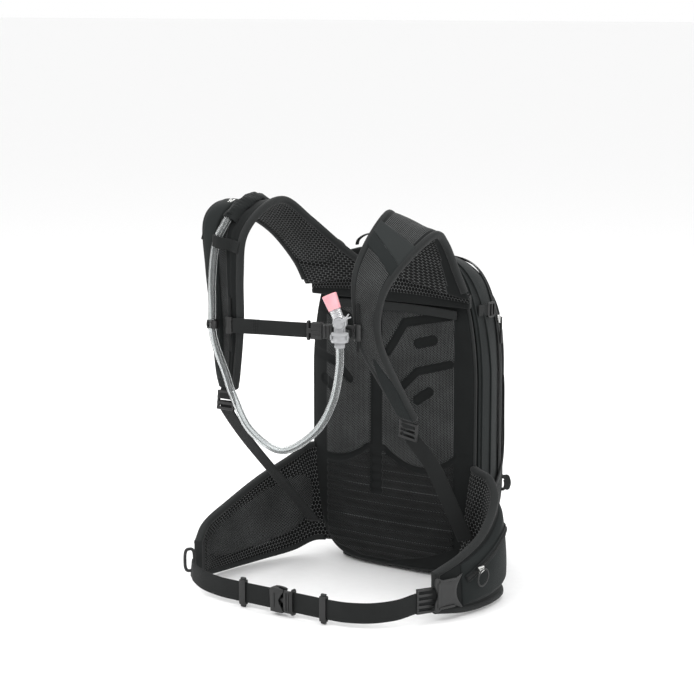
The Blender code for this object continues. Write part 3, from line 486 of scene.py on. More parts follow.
# %% Shoulder straps
STRAP = 0.008
LEFT_OUTER = smooth([(-.124, -.094, .366), (-.128, -.112, .398), (-.134, -.15, .437), (-.141, -.19, .462),
    (-.148, -.232, .48), (-.15, -.265, .462), (-.137, -.2785, .405), (-.13, -.2775, .34),
    (-.132, -.267, .28), (-.131, -.261, .256)], 18)
LEFT_INNER = smooth([(-.012, -.095, .39), (-.044, -.12, .421), (-.066, -.158, .458), (-.075, -.2, .486),
    (-.072, -.25, .478), (-.077, -.281, .447), (-.08, -.284, .4), (-.081, -.283, .34), (-.094, -.274, .28),
    (-.104, -.266, .256)], 18)
RIGHT_INNER = smooth([(.012, -.095, .39), (.034, -.12, .432), (.046, -.15, .47), (.053, -.18, .47),
    (.052, -.215, .44), (.052, -.238, .405), (.056, -.242, .365), (.061, -.2365, .322), (.069, -.195, .262),
    (.071, -.168, .228)], 18)
RIGHT_OUTER = smooth([(.124, -.094, .366), (.116, -.106, .4), (.115, -.13, .436), (.118, -.158, .45),
    (.112, -.2, .43), (.1, -.229, .4), (.091, -.239, .365), (.09, -.2325, .322), (.094, -.19, .256),
    (.096, -.165, .222)], 18)


def outward(edge_a, edge_b):
    """Frames of a strap with the normal turned upwards at its middle, away from the wearer."""
    middle, half, across, normal = frames_of(edge_a, edge_b)
    return middle, half, across, normal * math.copysign(1.0, normal[len(normal) // 2][2])


LEFT, RIGHT = outward(LEFT_OUTER, LEFT_INNER), outward(RIGHT_OUTER, RIGHT_INNER)


def left_outer_face(u, s):
    """Outer face of the left strap: cloth, with a fine net lane beside two ridges on its front half."""
    lane = band(s, -0.1, 0.28, 0.05) * step(u, 0.5, 0.03)
    ridges = (band(s, 0.34, 0.42, 0.05) + band(s, 0.54, 0.62, 0.05)) * step(u, 0.46, 0.03)
    return lane, 0.0014 * ridges - 0.0005 * lane


def left_inner_face(u, s):
    """Inner face: open net, with a V-shaped pressed seam where the strap meets the yoke."""
    seam = np.abs(u - 0.075 - 0.04 * np.abs(s))
    return 2.0 + 0 * u, 0.0006 * np.cos(s * 3) - 0.003 * np.exp(-(seam / 0.008) ** 2)


def right_inner_face(u, s):
    """Inner face of the right strap: open net by the yoke beside a plain side panel, then fine net."""
    plain = (s < -0.5 - 0.6 * u) & (u < 0.35)
    zone = np.where(plain, 0.0, np.where(u < 0.34, 2.0, 1.0))
    return zone, 0.0012 * np.cos(s * 1.5) * band(u, 0.06, 0.9, 0.05)


def right_outer_face(u, s):
    """Outer face of the right strap: fine net with a shallow hollow at the crest, plain along both edges."""
    hollow = np.exp(-((u - 0.3) / 0.035) ** 2 - ((s + 0.25) / 0.3) ** 2)
    return 1.0 * (np.abs(s) < 0.74), 0.0008 * np.cos(s * 1.5) - 0.0022 * hollow


left_pad = pad("left_strap_pad", LEFT, STRAP, left_outer_face, left_inner_face)
right_pad = pad("right_strap_pad", RIGHT, STRAP, right_outer_face, right_inner_face)
dress(left_pad, ZONED, "shoulder_strap_left")
dress(right_pad, ZONED, "shoulder_strap_right")
for name, frames_here in (("left_strap_binding", LEFT), ("right_strap_binding", RIGHT)):
    middle, half, across, normal = frames_here
    edges = [middle - across * half[:, None], middle + across * half[:, None]]
    dress(edge_tape(name, [e[4:-1] for e in edges], [across[4:-1], -across[4:-1]], STRAP / 2 + 0.0006),
        BINDING)
print("left strap runs", round(length_of(LEFT[0]), 3), "m")

# %% [markdown]
# Over the right strap's outer face lies a band of smooth cloth near the shoulder, in two tones, and at the
# lower end a triangle of the same cloth gathers the strap into its ladder lock. Each is a patch: a piece of
# the pad's own surface, lifted by its thickness and rounded off at its rim.

# %% Cloth patches on the straps
dress(patch("right_strap_band", RIGHT, (lambda b: 0.42 - 0.06 * b, lambda b: 0.5 - 0.1 * b), (-0.9, 0.9),
    STRAP / 2 + 0.0006, 0.001), PANEL_CLOTH)
dress(patch("right_strap_shade_band", RIGHT, (lambda b: 0.5 - 0.1 * b, lambda b: 0.54 - 0.095 * b),
    (-0.9, 0.9), STRAP / 2 + 0.0004, 0.0008), PACK_CLOTH)
for side, frames_here, start in (("right", RIGHT, 0.8), ("left", LEFT, 0.9)):
    dress(patch(side + "_strap_wedge", frames_here, (start, 0.995),
        (lambda u, a=start: -0.86 * step(u, a - 0.02, 0.1), lambda u, a=start: 0.86 * step(u, a - 0.02, 0.1)),
        STRAP / 2 + 0.0006, 0.001), PACK_CLOTH)
dress(patch("left_strap_pocket", LEFT, (0.4, 0.93), (-0.88, -0.2), STRAP / 2 + 0.0002, 0.0012, rows=120,
    relief=lambda a, b: 0.0022 * np.sin(np.pi * b) ** 0.5 + 0.0004 * np.sin(a * 31 + 3 * b) *
    np.sin(np.pi * b)), PACK_CLOTH)
print("strap patches laid")

# %% [markdown]
# The yoke closes the harness across the top of the back panel: a low arch of open net between the straps'
# roots.

# %% Yoke
YOKE_HALF = 0.119
x = np.linspace(-YOKE_HALF, YOKE_HALF, 60)
arch = 1 - (x / YOKE_HALF) ** 2
YOKE = frames_of(np.stack([x, 0 * x - 0.0828, 0 * x + 0.352], 1),
    np.stack([x, 0 * x - 0.0832, 0.3705 + 0.014 * arch], 1))
half_net = lambda u, s: (2.0 * (s > -0.25), -0.001 * np.exp(-((s + 0.25) / 0.1) ** 2))
yoke = dress(pad("yoke_pad", YOKE, 0.0075, half_net, half_net), ZONED, "yoke")

# %% [markdown]
# The drinking hose is the first cord. It leaves the cloth sleeve on the left strap, runs down the strap
# through an elastic band and a clip, hangs in one free loop and rises into the valve. It is a tube with a
# real bore, so that light bends twice in its wall and its edges shine.

# %% Hose
HOSE_RADIUS, HOSE_BORE = 0.00475, 0.0031
HOSE_ROUTE = [(-.10486, -.27807, .46766), (-.1115, -.2925, .44), (-.1155, -.296, .4), (-.116, -.2965, .365),
    (-.115, -.2963, .325), (-.1005, -.291, .28), (-.091, -.289, .254), (-.067, -.2855, .212),
    (-.022, -.2815, .192), (.0245, -.2775, .22), (.0475, -.2745, .258), (.0565, -.2735, .298),
    (.0572, -.2735, .3302)]


def pipe(name, path, outer, bore, side=(1.0, 0.0, 0.0), count=28):
    """A tube with a bore: an outer skin, an inner skin run backwards, and a ring at each end."""
    circle = superoval(count, outer, outer, 2.0)
    out = carry(path, side, circle)
    inn = carry(path, side, circle * bore / outer)
    return skin(name, [np.concatenate([out, inn[::-1]], 0)], ends="loop")


hose_path = smooth(HOSE_ROUTE, 14)
hose = dress(pipe("drinking_hose", hose_path, HOSE_RADIUS, HOSE_BORE, (0.0, -1.0, 0.15)),
    ("hose_clear", CLEAR), "hose", body=None)
print("free hose length", round(length_of(hose_path), 4), "m")

# %% [markdown]
# Between the reservoir and the sleeve the same hose runs inside the bag, out through a port at the top and
# over the shoulder, in a knitted cover that keeps the sun off it. A rubber grommet lines the port.

# %% Hidden hose, sleeve and elastic band
STATIONS, LIFT = 27.0, 0.0074


def on_left(station, share, height):
    """Point over the left strap's outer face: station along it, share across from its outer edge."""
    return on_pad(LEFT, np.asarray(station, float) / STATIONS, 2 * np.asarray(share, float) - 1,
        STRAP / 2 + np.asarray(height))


def hose_share(station):
    """The hose comes onto the strap near its outer edge and drifts inwards over the shoulder."""
    return 0.36 + 0.26 * step(np.asarray(station, float), 7.5, 5.0)


inside = [(-.07, -.01, .0875), (-.07, -.01, .15), (-.07, -.01, .27), (-.075, -.015, .325),
    (-.085, -.035, .368), (-.088, -.0505, .396), (-.0895, -.062, .4145), (-.0945, -.084, .4255),
    (-.0995, -.106, .434)]
stations = (4.8, 5.6, 6.6, 7.5, 9, 10.5, 12, 13.2, 14.1)
over = [on_left(s, hose_share(s), LIFT - 0.0026 * float(band(s, 6.0, 12.4, 1.6))) for s in stations]
dress(pipe("hose_under_sleeve", smooth(inside + over, 8), HOSE_RADIUS - 0.0001, HOSE_BORE, (1.0, 0.0, 0.1),
    20), ("hose_clear", STRETCH_KNIT), "hose_hidden")

run = np.linspace(5.6, 14.3, 150)
turn = np.linspace(0, np.pi, 26)
slow, quick = np.sin(run * 5.0)[:, None], np.sin(run * 23)[:, None]
crinkle = 0.0008 * slow * np.sin(turn * 3 + 1.0) + 0.0004 * quick * np.cos(turn * 2)
share = hose_share(run)
low = on_left(run, share, 0.0012)
side = unit(on_left(run, share + 0.05, 0.0012) - low)
up = unit(on_left(run, share, 0.02) - low)
width, height = 0.0122, 0.0092


def shell(w, h):
    """Half an oval over the strap: w cos(turn) aside, h sin(turn)^1.1 and the crinkle upwards."""
    aside, above = w * np.cos(turn)[None, :, None], (h * np.sin(turn) ** 1.1)[None, :, None]
    return low[:, None] + side[:, None] * aside + up[:, None] * (above + crinkle[..., None])


make("hose_sleeve_cloth", [np.concatenate([shell(width, height),
    shell(width - .0012, height - .0012)[:, ::-1]], 1)], KNIT, "hose_sleeve")

shares = np.linspace(0.03, 0.97, 70)
hump = np.exp(-((shares - 0.6) / 0.14) ** 4)
elastic = carry(on_left(16.0 + 0 * shares, shares, 0.0009 + 0.015 * hump),
    unit(on_left(17, .5, 0) - on_left(15, .5, 0)), superoval(16, 0.0072, 0.0007, 4.0))
make("hose_elastic_band", [elastic], WEBBING, "hose_keeper")
print("sleeve and band laid over the left strap")

# %% [markdown]
# The bite valve. Its parts are turned: a profile of radius and height spun about an axis. Small ripples in
# the profile give the neck its grip ribs. The mouthpiece is oval, wider towards its lip.

# %% Valve
VALVE, DIAL = np.array((0.0572, -0.2735, 0.337)), np.array((0.0577, -0.2735, 0.3545))
DIAL_AXIS, MOUTH = unit((0.4, -0.9165, 0.0)), unit((-0.0145, -0.0015, 0.0315))


def turned(profile, at, axis, count=40, wide=1.0, deep=1.0, side=(1.0, 0.0, 0.0)):
    """Grid of a turned piece: each (radius, height) becomes a ring about the axis, wide by deep."""
    profile = np.asarray(profile, float)
    e1 = unit(np.asarray(side, float) - np.dot(side, axis) * np.asarray(axis))
    e2 = np.cross(axis, e1)
    a = np.linspace(0, 2 * np.pi, count, endpoint=False)
    wide, deep = np.broadcast_to(wide, len(profile)), np.broadcast_to(deep, len(profile))
    r = profile[:, 0]
    x, y = np.outer(r * wide, np.cos(a))[..., None], np.outer(r * deep, np.sin(a))[..., None]
    return np.asarray(at, float) + profile[:, 1, None, None] * np.asarray(axis) + x * e1 + y * e2


def block(centre, x_axis, z_axis, size, square=6.0):
    """Grid of a moulded block: a rounded rectangle carried along x, its ends rounded off."""
    x_axis, z_axis = unit(x_axis), unit(z_axis)
    y_axis = np.cross(z_axis, x_axis)
    length, w, h = size
    reach = min(w, h, length) * 0.22
    path = np.asarray(centre) + x_axis * np.linspace(-length / 2 + reach, length / 2 - reach, 3)[:, None]
    stations, grow = round_ends(path, reach)
    grow = 1 - (1 - grow) * reach / (min(w, h) / 2)
    return carry(stations, y_axis, superoval(24, w / 2, h / 2, square), grow)


def blocks(place, z_axis, rows):
    """Grids of several blocks: each row is a place (x, y, z), the direction of the length, and the size."""
    return [block(place(*at), along, z_axis, size) for at, along, size in rows]


h = np.linspace(0.004, 0.0172, 46)
neck = turned(np.stack([0.0066 + 0.00035 * np.cos((h - 0.004) / 0.0022 * 2 * np.pi), h], 1), DIAL, MOUTH)
housing = turned([(.006, -.0062), (.0078, -.006), (.0082, -.005), (.0082, .005), (.0078, .006),
    (.0072, .0062), (.007, .0056), (.0066, .0056)], DIAL, DIAL_AXIS)
stem = turned([(.0052, .015), (.0052, .0066), (.007, .0062), (.0098, .0056), (.0103, .0042), (.0103, .0028),
    (.0088, .0018), (.0084, 0), (.0088, -.0018), (.0103, -.003), (.0103, -.005), (.0098, -.006),
    (.007, -.0064), (.0062, -.0075)], VALVE, (0, 0, 1))
side_dir = unit(np.cross((0, 0, 1), DIAL_AXIS))
bars = [block(VALVE + np.array((0, 0, 0.0105)) + side_dir * k * 0.0058, (0, 0, 1), DIAL_AXIS,
    (0.01, 0.0016, 0.004)) for k in (-1, 1)]
lugs = [block(VALVE + side_dir * k * 0.0098 + DIAL_AXIS * 0.002, (0, 0, 1), DIAL_AXIS,
    (0.0062, 0.0026, 0.005)) for k in (-1, 1)]
cuff = turned([(.005, -.007), (.0063, -.0072), (.0063, -.012), (.0056, -.0128), (.0049, -.0128)], VALVE,
    (0, 0, 1))
body = make("valve_body_clear", [neck, housing, stem, cuff] + bars + lugs, HOUSING, "valve_body",
    body="sternum_strap")

lip = np.linspace(0.2, 1, 6) * np.pi / 2
h = np.concatenate([np.linspace(0.0165, 0.0345, 24), 0.0345 + 0.001 * np.sin(lip), np.full(5, 0.0355)])
r = np.concatenate([np.linspace(0.0072, 0.0086, 24), 0.0086 - 0.0012 * (1 - np.cos(lip)),
    np.linspace(0.007, 0.0012, 5)])
h[-4:] -= 0.0012
flat = np.interp(h, [0.0165, 0.0355], [1.0, 0.72])
mouth = make("valve_mouthpiece_soft", [turned(np.stack([r, h], 1), DIAL, MOUTH, wide=1.06, deep=flat,
    side=side_dir)], SILICONE, "valve_mouthpiece", body="sternum_strap")

reach = unit(side_dir * 0.8 + np.array((0, 0, 0.6)))
across = np.cross(DIAL_AXIS, reach)
hub = turned([(.0058, .0064), (.0066, .0066), (.0066, .008), (.0062, .0085), (.0052, .0085), (.005, .0079),
    (.0012, .0079)], DIAL, DIAL_AXIS)
fork = [block(DIAL + DIAL_AXIS * 0.0076 + reach * 0.0085, reach, DIAL_AXIS, (0.01, 0.0036, 0.002))]
for k in (-1, 1):
    fork.append(block(DIAL + DIAL_AXIS * 0.0076 + reach * 0.0136 + across * k * 0.0013,
        reach + across * k * 0.35, DIAL_AXIS, (0.0062, 0.0016, 0.002)))
lever = make("valve_lever_clear", [hub] + fork, HOUSING, "valve_lever", body="valve_lever")
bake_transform(hose)
print("valve built")

# %% [markdown]
# The sternum strap slides up and down a corded rail on each shoulder strap. Its webbing is folded round the
# left slider and sewn back on itself. Moulded rings and loops with holes, such as the buckles' rings, the
# belt's oval loop and the hooks' frames, are made one way: a rounded bar carried round a closed, rounded
# rectangle.

# %% Sternum strap
RAIL_LEFT, RAIL_RIGHT = np.array((-0.094, -0.2905, 0.34)), np.array((0.066, -0.2485, 0.34))
SPAN = float(np.linalg.norm(RAIL_RIGHT - RAIL_LEFT))
ALONG = unit(RAIL_RIGHT - RAIL_LEFT)
FRONT = np.array((ALONG[1], -ALONG[0], 0.0))
UP = np.array((0.0, 0.0, 1.0))


def loop_bar(centre, x_axis, y_axis, width, height, corner, half_wide, half_deep):
    """Grid of a bar bent into a rounded rectangle: use it with ends="loop"."""
    x, y = superoval(64, width / 2, height / 2, 2.0 + 6.0 * (1 - corner)).T[..., None]
    x_axis, y_axis = unit(x_axis), unit(y_axis)
    path = np.asarray(centre) + x_axis * x + y_axis * y
    return carry(path, np.cross(x_axis, y_axis), superoval(14, half_deep, half_wide, 3.0), closed=True)


def chest(x, y=0.0, z=0.0):
    """Place by the strap: x along it from the left rail, y behind it, z up."""
    x, y, z = np.broadcast_arrays(np.asarray(x, float), y, z)
    return RAIL_LEFT + x[..., None] * ALONG - y[..., None] * FRONT + z[..., None] * UP


def cloth_strip(name, path, side, half_width, half_thick=0.0008, extra=()):
    """Webbing: a flat rounded section carried along a path, with folded layers added as further grids."""
    layers = [(path, half_width)] + [(fold, half_width * 0.995) for fold in extra]
    return skin(name, [carry(line, side, superoval(24, half, half_thick, 6.0)) for line, half in layers])


def bar_tack(name, middle, across, along, width):
    """Sewn rows: three rows of small thread bars, each 1.4 mm long, side by side across the webbing."""
    grids = []
    for row in (-1.5, -0.5, 0.5):
        for k in np.linspace(-0.5, 0.5, int(width / 0.0016)):
            at = np.asarray(middle) + unit(across) * k * width + unit(along) * row * 0.0026
            path = at + unit(along) * np.linspace(-0.0007, 0.0007, 3)[:, None]
            grids.append(carry(path, across, superoval(6, 0.00028, 0.00028, 2.0)))
    return skin(name, grids)


x = np.linspace(0.0055, 0.1065, 70)
front_layer = chest(x, -0.003 - 0.0004 * np.sin(x * 90))
turn = np.linspace(-np.pi / 2, np.pi / 2, 12)
fold = np.concatenate([chest(np.linspace(0.04, 0.0075, 24), -0.0012),
    chest(0.0075 - 0.0012 * np.cos(turn), -0.0021 - 0.0009 * np.sin(turn))])
left_webbing = dress(cloth_strip("sternum_webbing_woven", front_layer, UP, 0.009, extra=[fold]), WEBBING,
    "sternum_webbing_left", body=None)
tuple(chest(0.075))
tuple(chest(0.1065))
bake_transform(left_webbing)
dress(bar_tack("sternum_stitching", chest(0.036, -0.004), UP, ALONG, 0.015), BINDING, body="sternum_strap")

for name, x, rail, low, high in (("left", 0.0, RAIL_LEFT, -.03, .032),
        ("right", SPAN, RAIL_RIGHT, -.022, .034)):
    a = np.concatenate([np.linspace(np.pi, 2 * np.pi, 22), np.linspace(2 * np.pi, np.pi, 22)])
    r = np.repeat([0.0048, 0.0024], 22)
    rise = np.linspace(-0.01, 0.01, 40)
    ribs = 1 + 0.05 * np.cos(rise / 0.01 * 3 * np.pi)
    aside, out = np.outer(ribs, r * np.cos(a))[..., None], (r * np.sin(a))[:, None]
    rows = chest(x + 0 * rise, 0.0, rise)[:, None] + ALONG * aside - FRONT * out
    make("sternum_clip_" + name, [rows], MOULDED, "sternum_slider_" + name, body="sternum_strap")
    stations, grow = round_ends(rail + UP * np.linspace(low, high, 60)[:, None], 0.0018)
    braid = carry(stations, ALONG, superoval(16, 0.0018, 0.0018, 2.0), grow)
    make("sternum_rail_cord_" + name, [braid], WEBBING, "sternum_rail_" + name)
print("sternum strap spans", round(SPAN, 4), "m between its rails")

# %% [markdown]
# The sternum buckle: a flat socket that hooks over a plug. The plug's tail carries on to the right slider and
# holds the small magnet that parks the valve.

# %% Sternum buckle
BUCKLE_X, BUCKLE_Y = 0.118, -0.003


def by_buckle(x, y, z=0.0):
    """Place by the buckle's middle: x along the strap, y behind it, z up."""
    return chest(BUCKLE_X + x, BUCKLE_Y + y, z)


socket_parts = blocks(by_buckle, FRONT, [((-.003, -.0032), ALONG, (.014, .02, .0016)),
    ((-.003, .0032), ALONG, (.014, .02, .0016)), ((-.0083, 0), ALONG, (.0034, .02, .0066)),
    ((-.0115, -.0033), ALONG, (.008, .006, .0014))])
socket_parts += blocks(by_buckle, FRONT, [((-.003, -.0042, z), ALONG, (.01, .0012, .0008)) for z in
    (-.005, 0, .005)])
ring = loop_bar(by_buckle(-0.014, 0), UP, FRONT, 0.0214, 0.0058, 0.2, 0.0012, 0.0015)
make("sternum_socket_shell", socket_parts, MOULDED, "sternum_buckle_socket", body="sternum_socket")
make("sternum_socket_ring", [ring], MOULDED, body="sternum_socket", ends="loop")
tail = SPAN - BUCKLE_X - 0.0052
plug_parts = blocks(by_buckle, FRONT, [((.001, 0), ALONG, (.013, .018, .0038)),
    ((.0108, -.0005), ALONG, (.013, .018, .007)), ((.013, -.0044), UP, (.016, .0016, .0012)),
    ((.0085, -.0044), UP, (.016, .0016, .0012)),
    (((tail + .016) / 2, -.0003), ALONG, (tail - .015, .0176, .0024))])
plug_parts.append(block((0.0565, -0.25865, 0.3385), (1, 0, 0), (0, -1, 0), (0.011, 0.0108, 0.0083)))
make("sternum_plug_moulded", plug_parts, MOULDED, "sternum_buckle_plug", body="sternum_strap")

a = np.radians(np.concatenate([np.linspace(-65, 245, 40), np.linspace(245, -65, 40)]))
r = np.concatenate([np.full(40, 0.0072), np.full(40, 0.0056)])
rise = np.linspace(-0.005, 0.005, 12)
centre = np.array((-0.1157, -0.2965, 0.34))
swell = 1 + 0.04 * np.cos(rise / 0.005 * np.pi)
swollen = swell[:, None] * r
clip_rows = centre + UP * rise[:, None, None] + np.stack([swollen * np.cos(a), swollen * np.sin(a),
    0 * swollen], 2)
make("hose_clip_moulded", [clip_rows], MOULDED, "hose_clip", body="sternum_strap")
print("sternum buckle built")

# %% [markdown]
# Ladder locks and the webbing that hangs from them. A ladder lock is a frame with bars; the webbing goes over
# the middle bar and back. The free webbing runs to the pack's lower corners.

# %% Ladder locks and strap webbing
def ladder(name, node, at, x_axis, z_axis, width=0.026, height=0.024, bars=4):
    """A frame of rounded bars: two cheeks and several rungs, each rung a little proud."""
    x_axis, z_axis = unit(x_axis), unit(z_axis)
    x_axis = unit(x_axis - z_axis * np.dot(x_axis, z_axis))
    y_axis = np.cross(z_axis, x_axis)
    at = np.asarray(at, float)
    grids = [block(at + x_axis * k * (width / 2 - 0.0015), y_axis, z_axis, (height, 0.003, 0.0034)) for k in
        (-1, 1)]
    for y in np.linspace(-height / 2 + 0.0018, height / 2 - 0.0018, bars):
        grids.append(block(at + y_axis * y + z_axis * 0.0004, x_axis, z_axis, (width, 0.0036, 0.0036)))
    make(name, grids, MOULDED, node)


ladder("ladder_lock_left_moulded", "ladder_lock_left", (-.118, -.2685, .2405), (1, -.15, 0), (0.0, -1, 0.1))
ladder("ladder_lock_right_moulded", "ladder_lock_right", (.08, -.16, .208), (1, 0, -.2), (0.0, -.97, -.2))
left_line = smooth([(-.118, -.2678, .2405), (-.1178, -.2675, .234), (-.1175, -.264, .224),
    (-.116, -.225, .18), (-.114, -.155, .112), (-.112, -.092, .05)], 16)
right_line = smooth([(.08, -.159, .208), (.0805, -.1555, .201), (.082, -.147, .19), (.0955, -.13, .16),
    (.109, -.11, .11), (.121, -.0905, .06)], 16)
for name, line, side in (("left", left_line, unit((1, 0, .1))), ("right", right_line, unit((1, .4, .2)))):
    dress(cloth_strip("strap_webbing_woven_" + name, line, side, 0.01), WEBBING, "strap_webbing_" + name)
tabs = (("left", [(-.1178, -.2632, .268), (-.1179, -.265, .258), (-.118, -.269, .2495),
    (-.118, -.27, .243)]), ("right", [(.083, -.17, .233), (.0825, -.166, .225), (.081, -.1632, .217),
    (.0805, -.1622, .211)]))
for name, line in tabs:
    dress(cloth_strip("ladder_tab_" + name, smooth(line, 8), (1, 0, 0), 0.0095), WEBBING)
print("ladder locks and webbing built")

# %% [markdown]
# The hip belt's wings are pads again. Towards the wearer the left shows fine net in the middle and open net
# along its border, the right open net all over. The wings are sewn into the pack at their roots, so each edge
# starts a little inside the back panel's edge.

# %% Belt wings
WING = 0.009
WING_LEFT_TOP = smooth([(-.113, -.0665, .152), (-.13, -.08, .15), (-.141, -.105, .136), (-.158, -.15, .115),
    (-.168, -.2, .092), (-.17, -.245, .074), (-.16, -.276, .056)], 20)
WING_LEFT_LOW = smooth([(-.086, -.0665, .022), (-.122, -.0765, .02), (-.141, -.105, .009),
    (-.158, -.15, .0045), (-.168, -.2, .003), (-.17, -.245, .0045), (-.16, -.276, .01)], 20)
WING_RIGHT_TOP = smooth([(.113, -.0665, .152), (.13, -.079, .15), (.15, -.082, .142), (.17, -.104, .122),
    (.177, -.142, .092), (.173, -.185, .072), (.16, -.226, .056)], 20)
WING_RIGHT_LOW = smooth([(.086, -.0665, .022), (.122, -.076, .02), (.152, -.08, .01), (.178, -.102, .0045),
    (.186, -.142, .003), (.18, -.187, .003), (.163, -.228, .008)], 20)


def wing_frames(low, top, side):
    """Frames of a wing with the normal turned away from the wearer."""
    middle, half, across, normal = frames_of(low, top)
    return middle, half, across, normal * np.sign(normal[:, :1] * side)


LEFT_WING, RIGHT_WING = wing_frames(WING_LEFT_LOW, WING_LEFT_TOP, -1), wing_frames(WING_RIGHT_LOW,
    WING_RIGHT_TOP, 1)


def wing_inner(u, s):
    """Fine net inside an oval, pressed line round it, open net outside; the last tenth is plain cloth."""
    oval = (np.abs(u - 0.5) / 0.34) ** 2.4 + (np.abs(s) / 0.62) ** 2.4
    line = np.exp(-((oval - 1) / 0.16) ** 2)
    crease = np.exp(-((u - 0.9) / 0.012) ** 2)
    zone = np.where(u > 0.9, 0.0, np.where(oval < 1, 1.0, 2.0))
    return zone, 0.0016 * step(1 - oval, 0.0, 0.6) - 0.0018 * line - 0.0012 * crease


def wing_open(u, s):
    """Open net all over, softly crowned, with the last tenth of plain folded cloth."""
    return np.where(u > 0.9, 0.0, 2.0), 0.0012 * np.cos(s * 1.5) - 0.0012 * np.exp(-((u - 0.9) / 0.012) ** 2)


def wing_outer(u, s):
    """Plain cloth with two shallow pressed lines."""
    return 0 * u, -0.0008 * (np.exp(-((np.abs(s) - 0.8) / 0.03) ** 2))


for name, frames_here in (("left", LEFT_WING), ("right", RIGHT_WING)):
    wing = dress(pad("hip_wing_pad_" + name, frames_here, WING, wing_outer,
        wing_inner if name == "left" else wing_open, cols=60), ZONED, "hip_wing_" + name)
    middle, half, across, normal = frames_here
    low, top = middle - across * half[:, None], middle + across * half[:, None]
    end = smooth([low[-1], low[-1] * 0.75 + top[-1] * 0.25, low[-1] * 0.25 + top[-1] * 0.75, top[-1]], 8)
    dress(edge_tape("hip_wing_binding_" + name, [low[12:], top[12:]], [across[12:], -across[12:]],
        WING / 2 + 0.0006), BINDING)
    ahead = unit(middle[-1] - middle[-4])
    dress(edge_tape("hip_wing_end_" + name, [end], [np.broadcast_to(-ahead, end.shape)], WING / 2 + 0.0007,
        0.0045), BINDING)
print("wings built")

# %% [markdown]
# On each wing's outer side sits a flat zipped pocket. The right one shows its zip: a curved coil on a tape, a
# plated slider, and a cord pull that hangs in a ring.

# %% Wing pockets, zip coil and pulls
COIL_PITCH, COIL_WIDE, COIL_HIGH = 0.0016, 0.00165, 0.00066


def coil(name, path, up):
    """A zip's coil: a thin wire wound round the zip's line, its angle growing by one turn each pitch."""
    path = np.asarray(path, float)
    length = np.concatenate([[0], np.cumsum(np.linalg.norm(np.diff(path, axis=0), axis=1))])
    at = np.linspace(0, length[-1], int(length[-1] / COIL_PITCH) * 7)
    line = np.stack([np.interp(at, length, path[:, k]) for k in range(3)], 1)
    up = np.broadcast_to(up, path.shape)
    ups = unit(np.stack([np.interp(at, length, up[:, k]) for k in range(3)], 1))
    side = unit(np.cross(unit(np.gradient(line, axis=0)), ups))
    angle = 2 * np.pi * at[:, None] / COIL_PITCH
    wire = line + side * COIL_WIDE * np.cos(angle) + ups * COIL_HIGH * np.sin(angle)
    return skin(name, [carry(wire, ups, superoval(5, 0.00038, 0.00038, 2.0))])


def wing_pocket(name, node, frames_here):
    """A pouch swollen by up to 7 mm with a soft fold, over the wing's outer face."""
    def swell(a, b):
        full = np.sin(np.pi * a) ** 0.5 * np.sin(np.pi * b) ** 0.5
        return 0.0052 * full + 0.0005 * np.sin(9 * a + 4 * b) * full
    return dress(patch(name, frames_here, (0.36, 0.86), (-0.74, 0.74), WING / 2 + 0.0004, 0.0022, rows=90,
        cols=60, relief=swell), PACK_CLOTH, node)


for name, frames_here in (("left", LEFT_WING), ("right", RIGHT_WING)):
    wing_pocket("hip_pocket_cloth_" + name, "hip_pocket_" + name, frames_here)
u = np.linspace(0.4, 0.84, 80)
s = 0.42 - 0.25 * ((u - 0.62) / 0.22) ** 2
full = np.sin(np.pi * (u - 0.36) / 0.5) ** 0.5 * np.sin(np.pi * (s + 0.74) / 1.48) ** 0.5
lift = WING / 2 + 0.0036 + 0.005 * full
zip_line = on_pad(RIGHT_WING, u, s, lift)
zip_up = unit(on_pad(RIGHT_WING, u, s, lift + 0.01) - zip_line)
dress(cloth_strip("hip_zip_tape", zip_line, unit(np.cross(np.gradient(zip_line, axis=0), zip_up)), 0.005,
    0.0005), ("webbing", STRETCH_KNIT))
dress(coil("hip_zip_coil", zip_line + zip_up * 0.0008, zip_up), COIL)


def slider(name, node, body, at, ahead, up, look=ZINC, size=1.0):
    """A zip slider: a Y-shaped body of two cheeks, a nose, and a bridge for the pull."""
    ahead, up = unit(ahead), unit(up)
    side = np.cross(ahead, up)
    at = np.asarray(at, float)
    grids = [block(at + side * k * 0.0021 * size, ahead + side * k * 0.18, up,
        (0.0085 * size, 0.0024 * size, 0.0026 * size)) for k in (-1, 1)]
    grids.append(block(at, ahead, up, (0.006 * size, 0.003 * size, 0.002 * size)))
    t = np.linspace(0, 1, 12)[:, None]
    bridge = at + (ahead * 0.003 * (2 * t - 1) + up * (0.0013 + 0.0019 * np.sin(np.pi * t))) * size
    grids.append(carry(bridge, side, superoval(12, 0.0009 * size, 0.0005 * size, 3.0)))
    return make(name, grids, look, node, body=body)


def middle_of(node):
    """Middle of a CAD node's box."""
    return (np.array(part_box(node)[0]) + np.array(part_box(node)[1])) / 2


seat = middle_of("hip_zip_slider_right")
HIP_OUT, HIP_AHEAD = np.array((.97938, -.174, .10263)), np.array((-.15481, -.9679, -.19801))
slider("hip_slider_plated", "hip_zip_slider_right", "hip_slider_right", seat, HIP_AHEAD, HIP_OUT, size=1.15)
hang = seat + HIP_OUT * 0.0034
a = np.linspace(0, 2 * np.pi, 60, endpoint=False)
ring = hang + HIP_AHEAD * (0.0095 * np.sin(a))[:, None] + UP * (0.01 * np.cos(a) - 0.01)[:, None]
make("hip_pull_cord", [carry(ring, HIP_OUT, superoval(10, 0.001, 0.001, 2.0), closed=True)], MOULDED,
    "hip_zip_pull_right", body="hip_pull_right", ends="loop")
print("wing pockets and zip built")

# %% [markdown]
# The belt's webbing is 25 mm nylon. Its loose parts are held by keepers, little frames with a tab above and
# below. On the left the webbing passes an oval loop; on the right it ends in an adjuster on a moulded, curved
# plate.

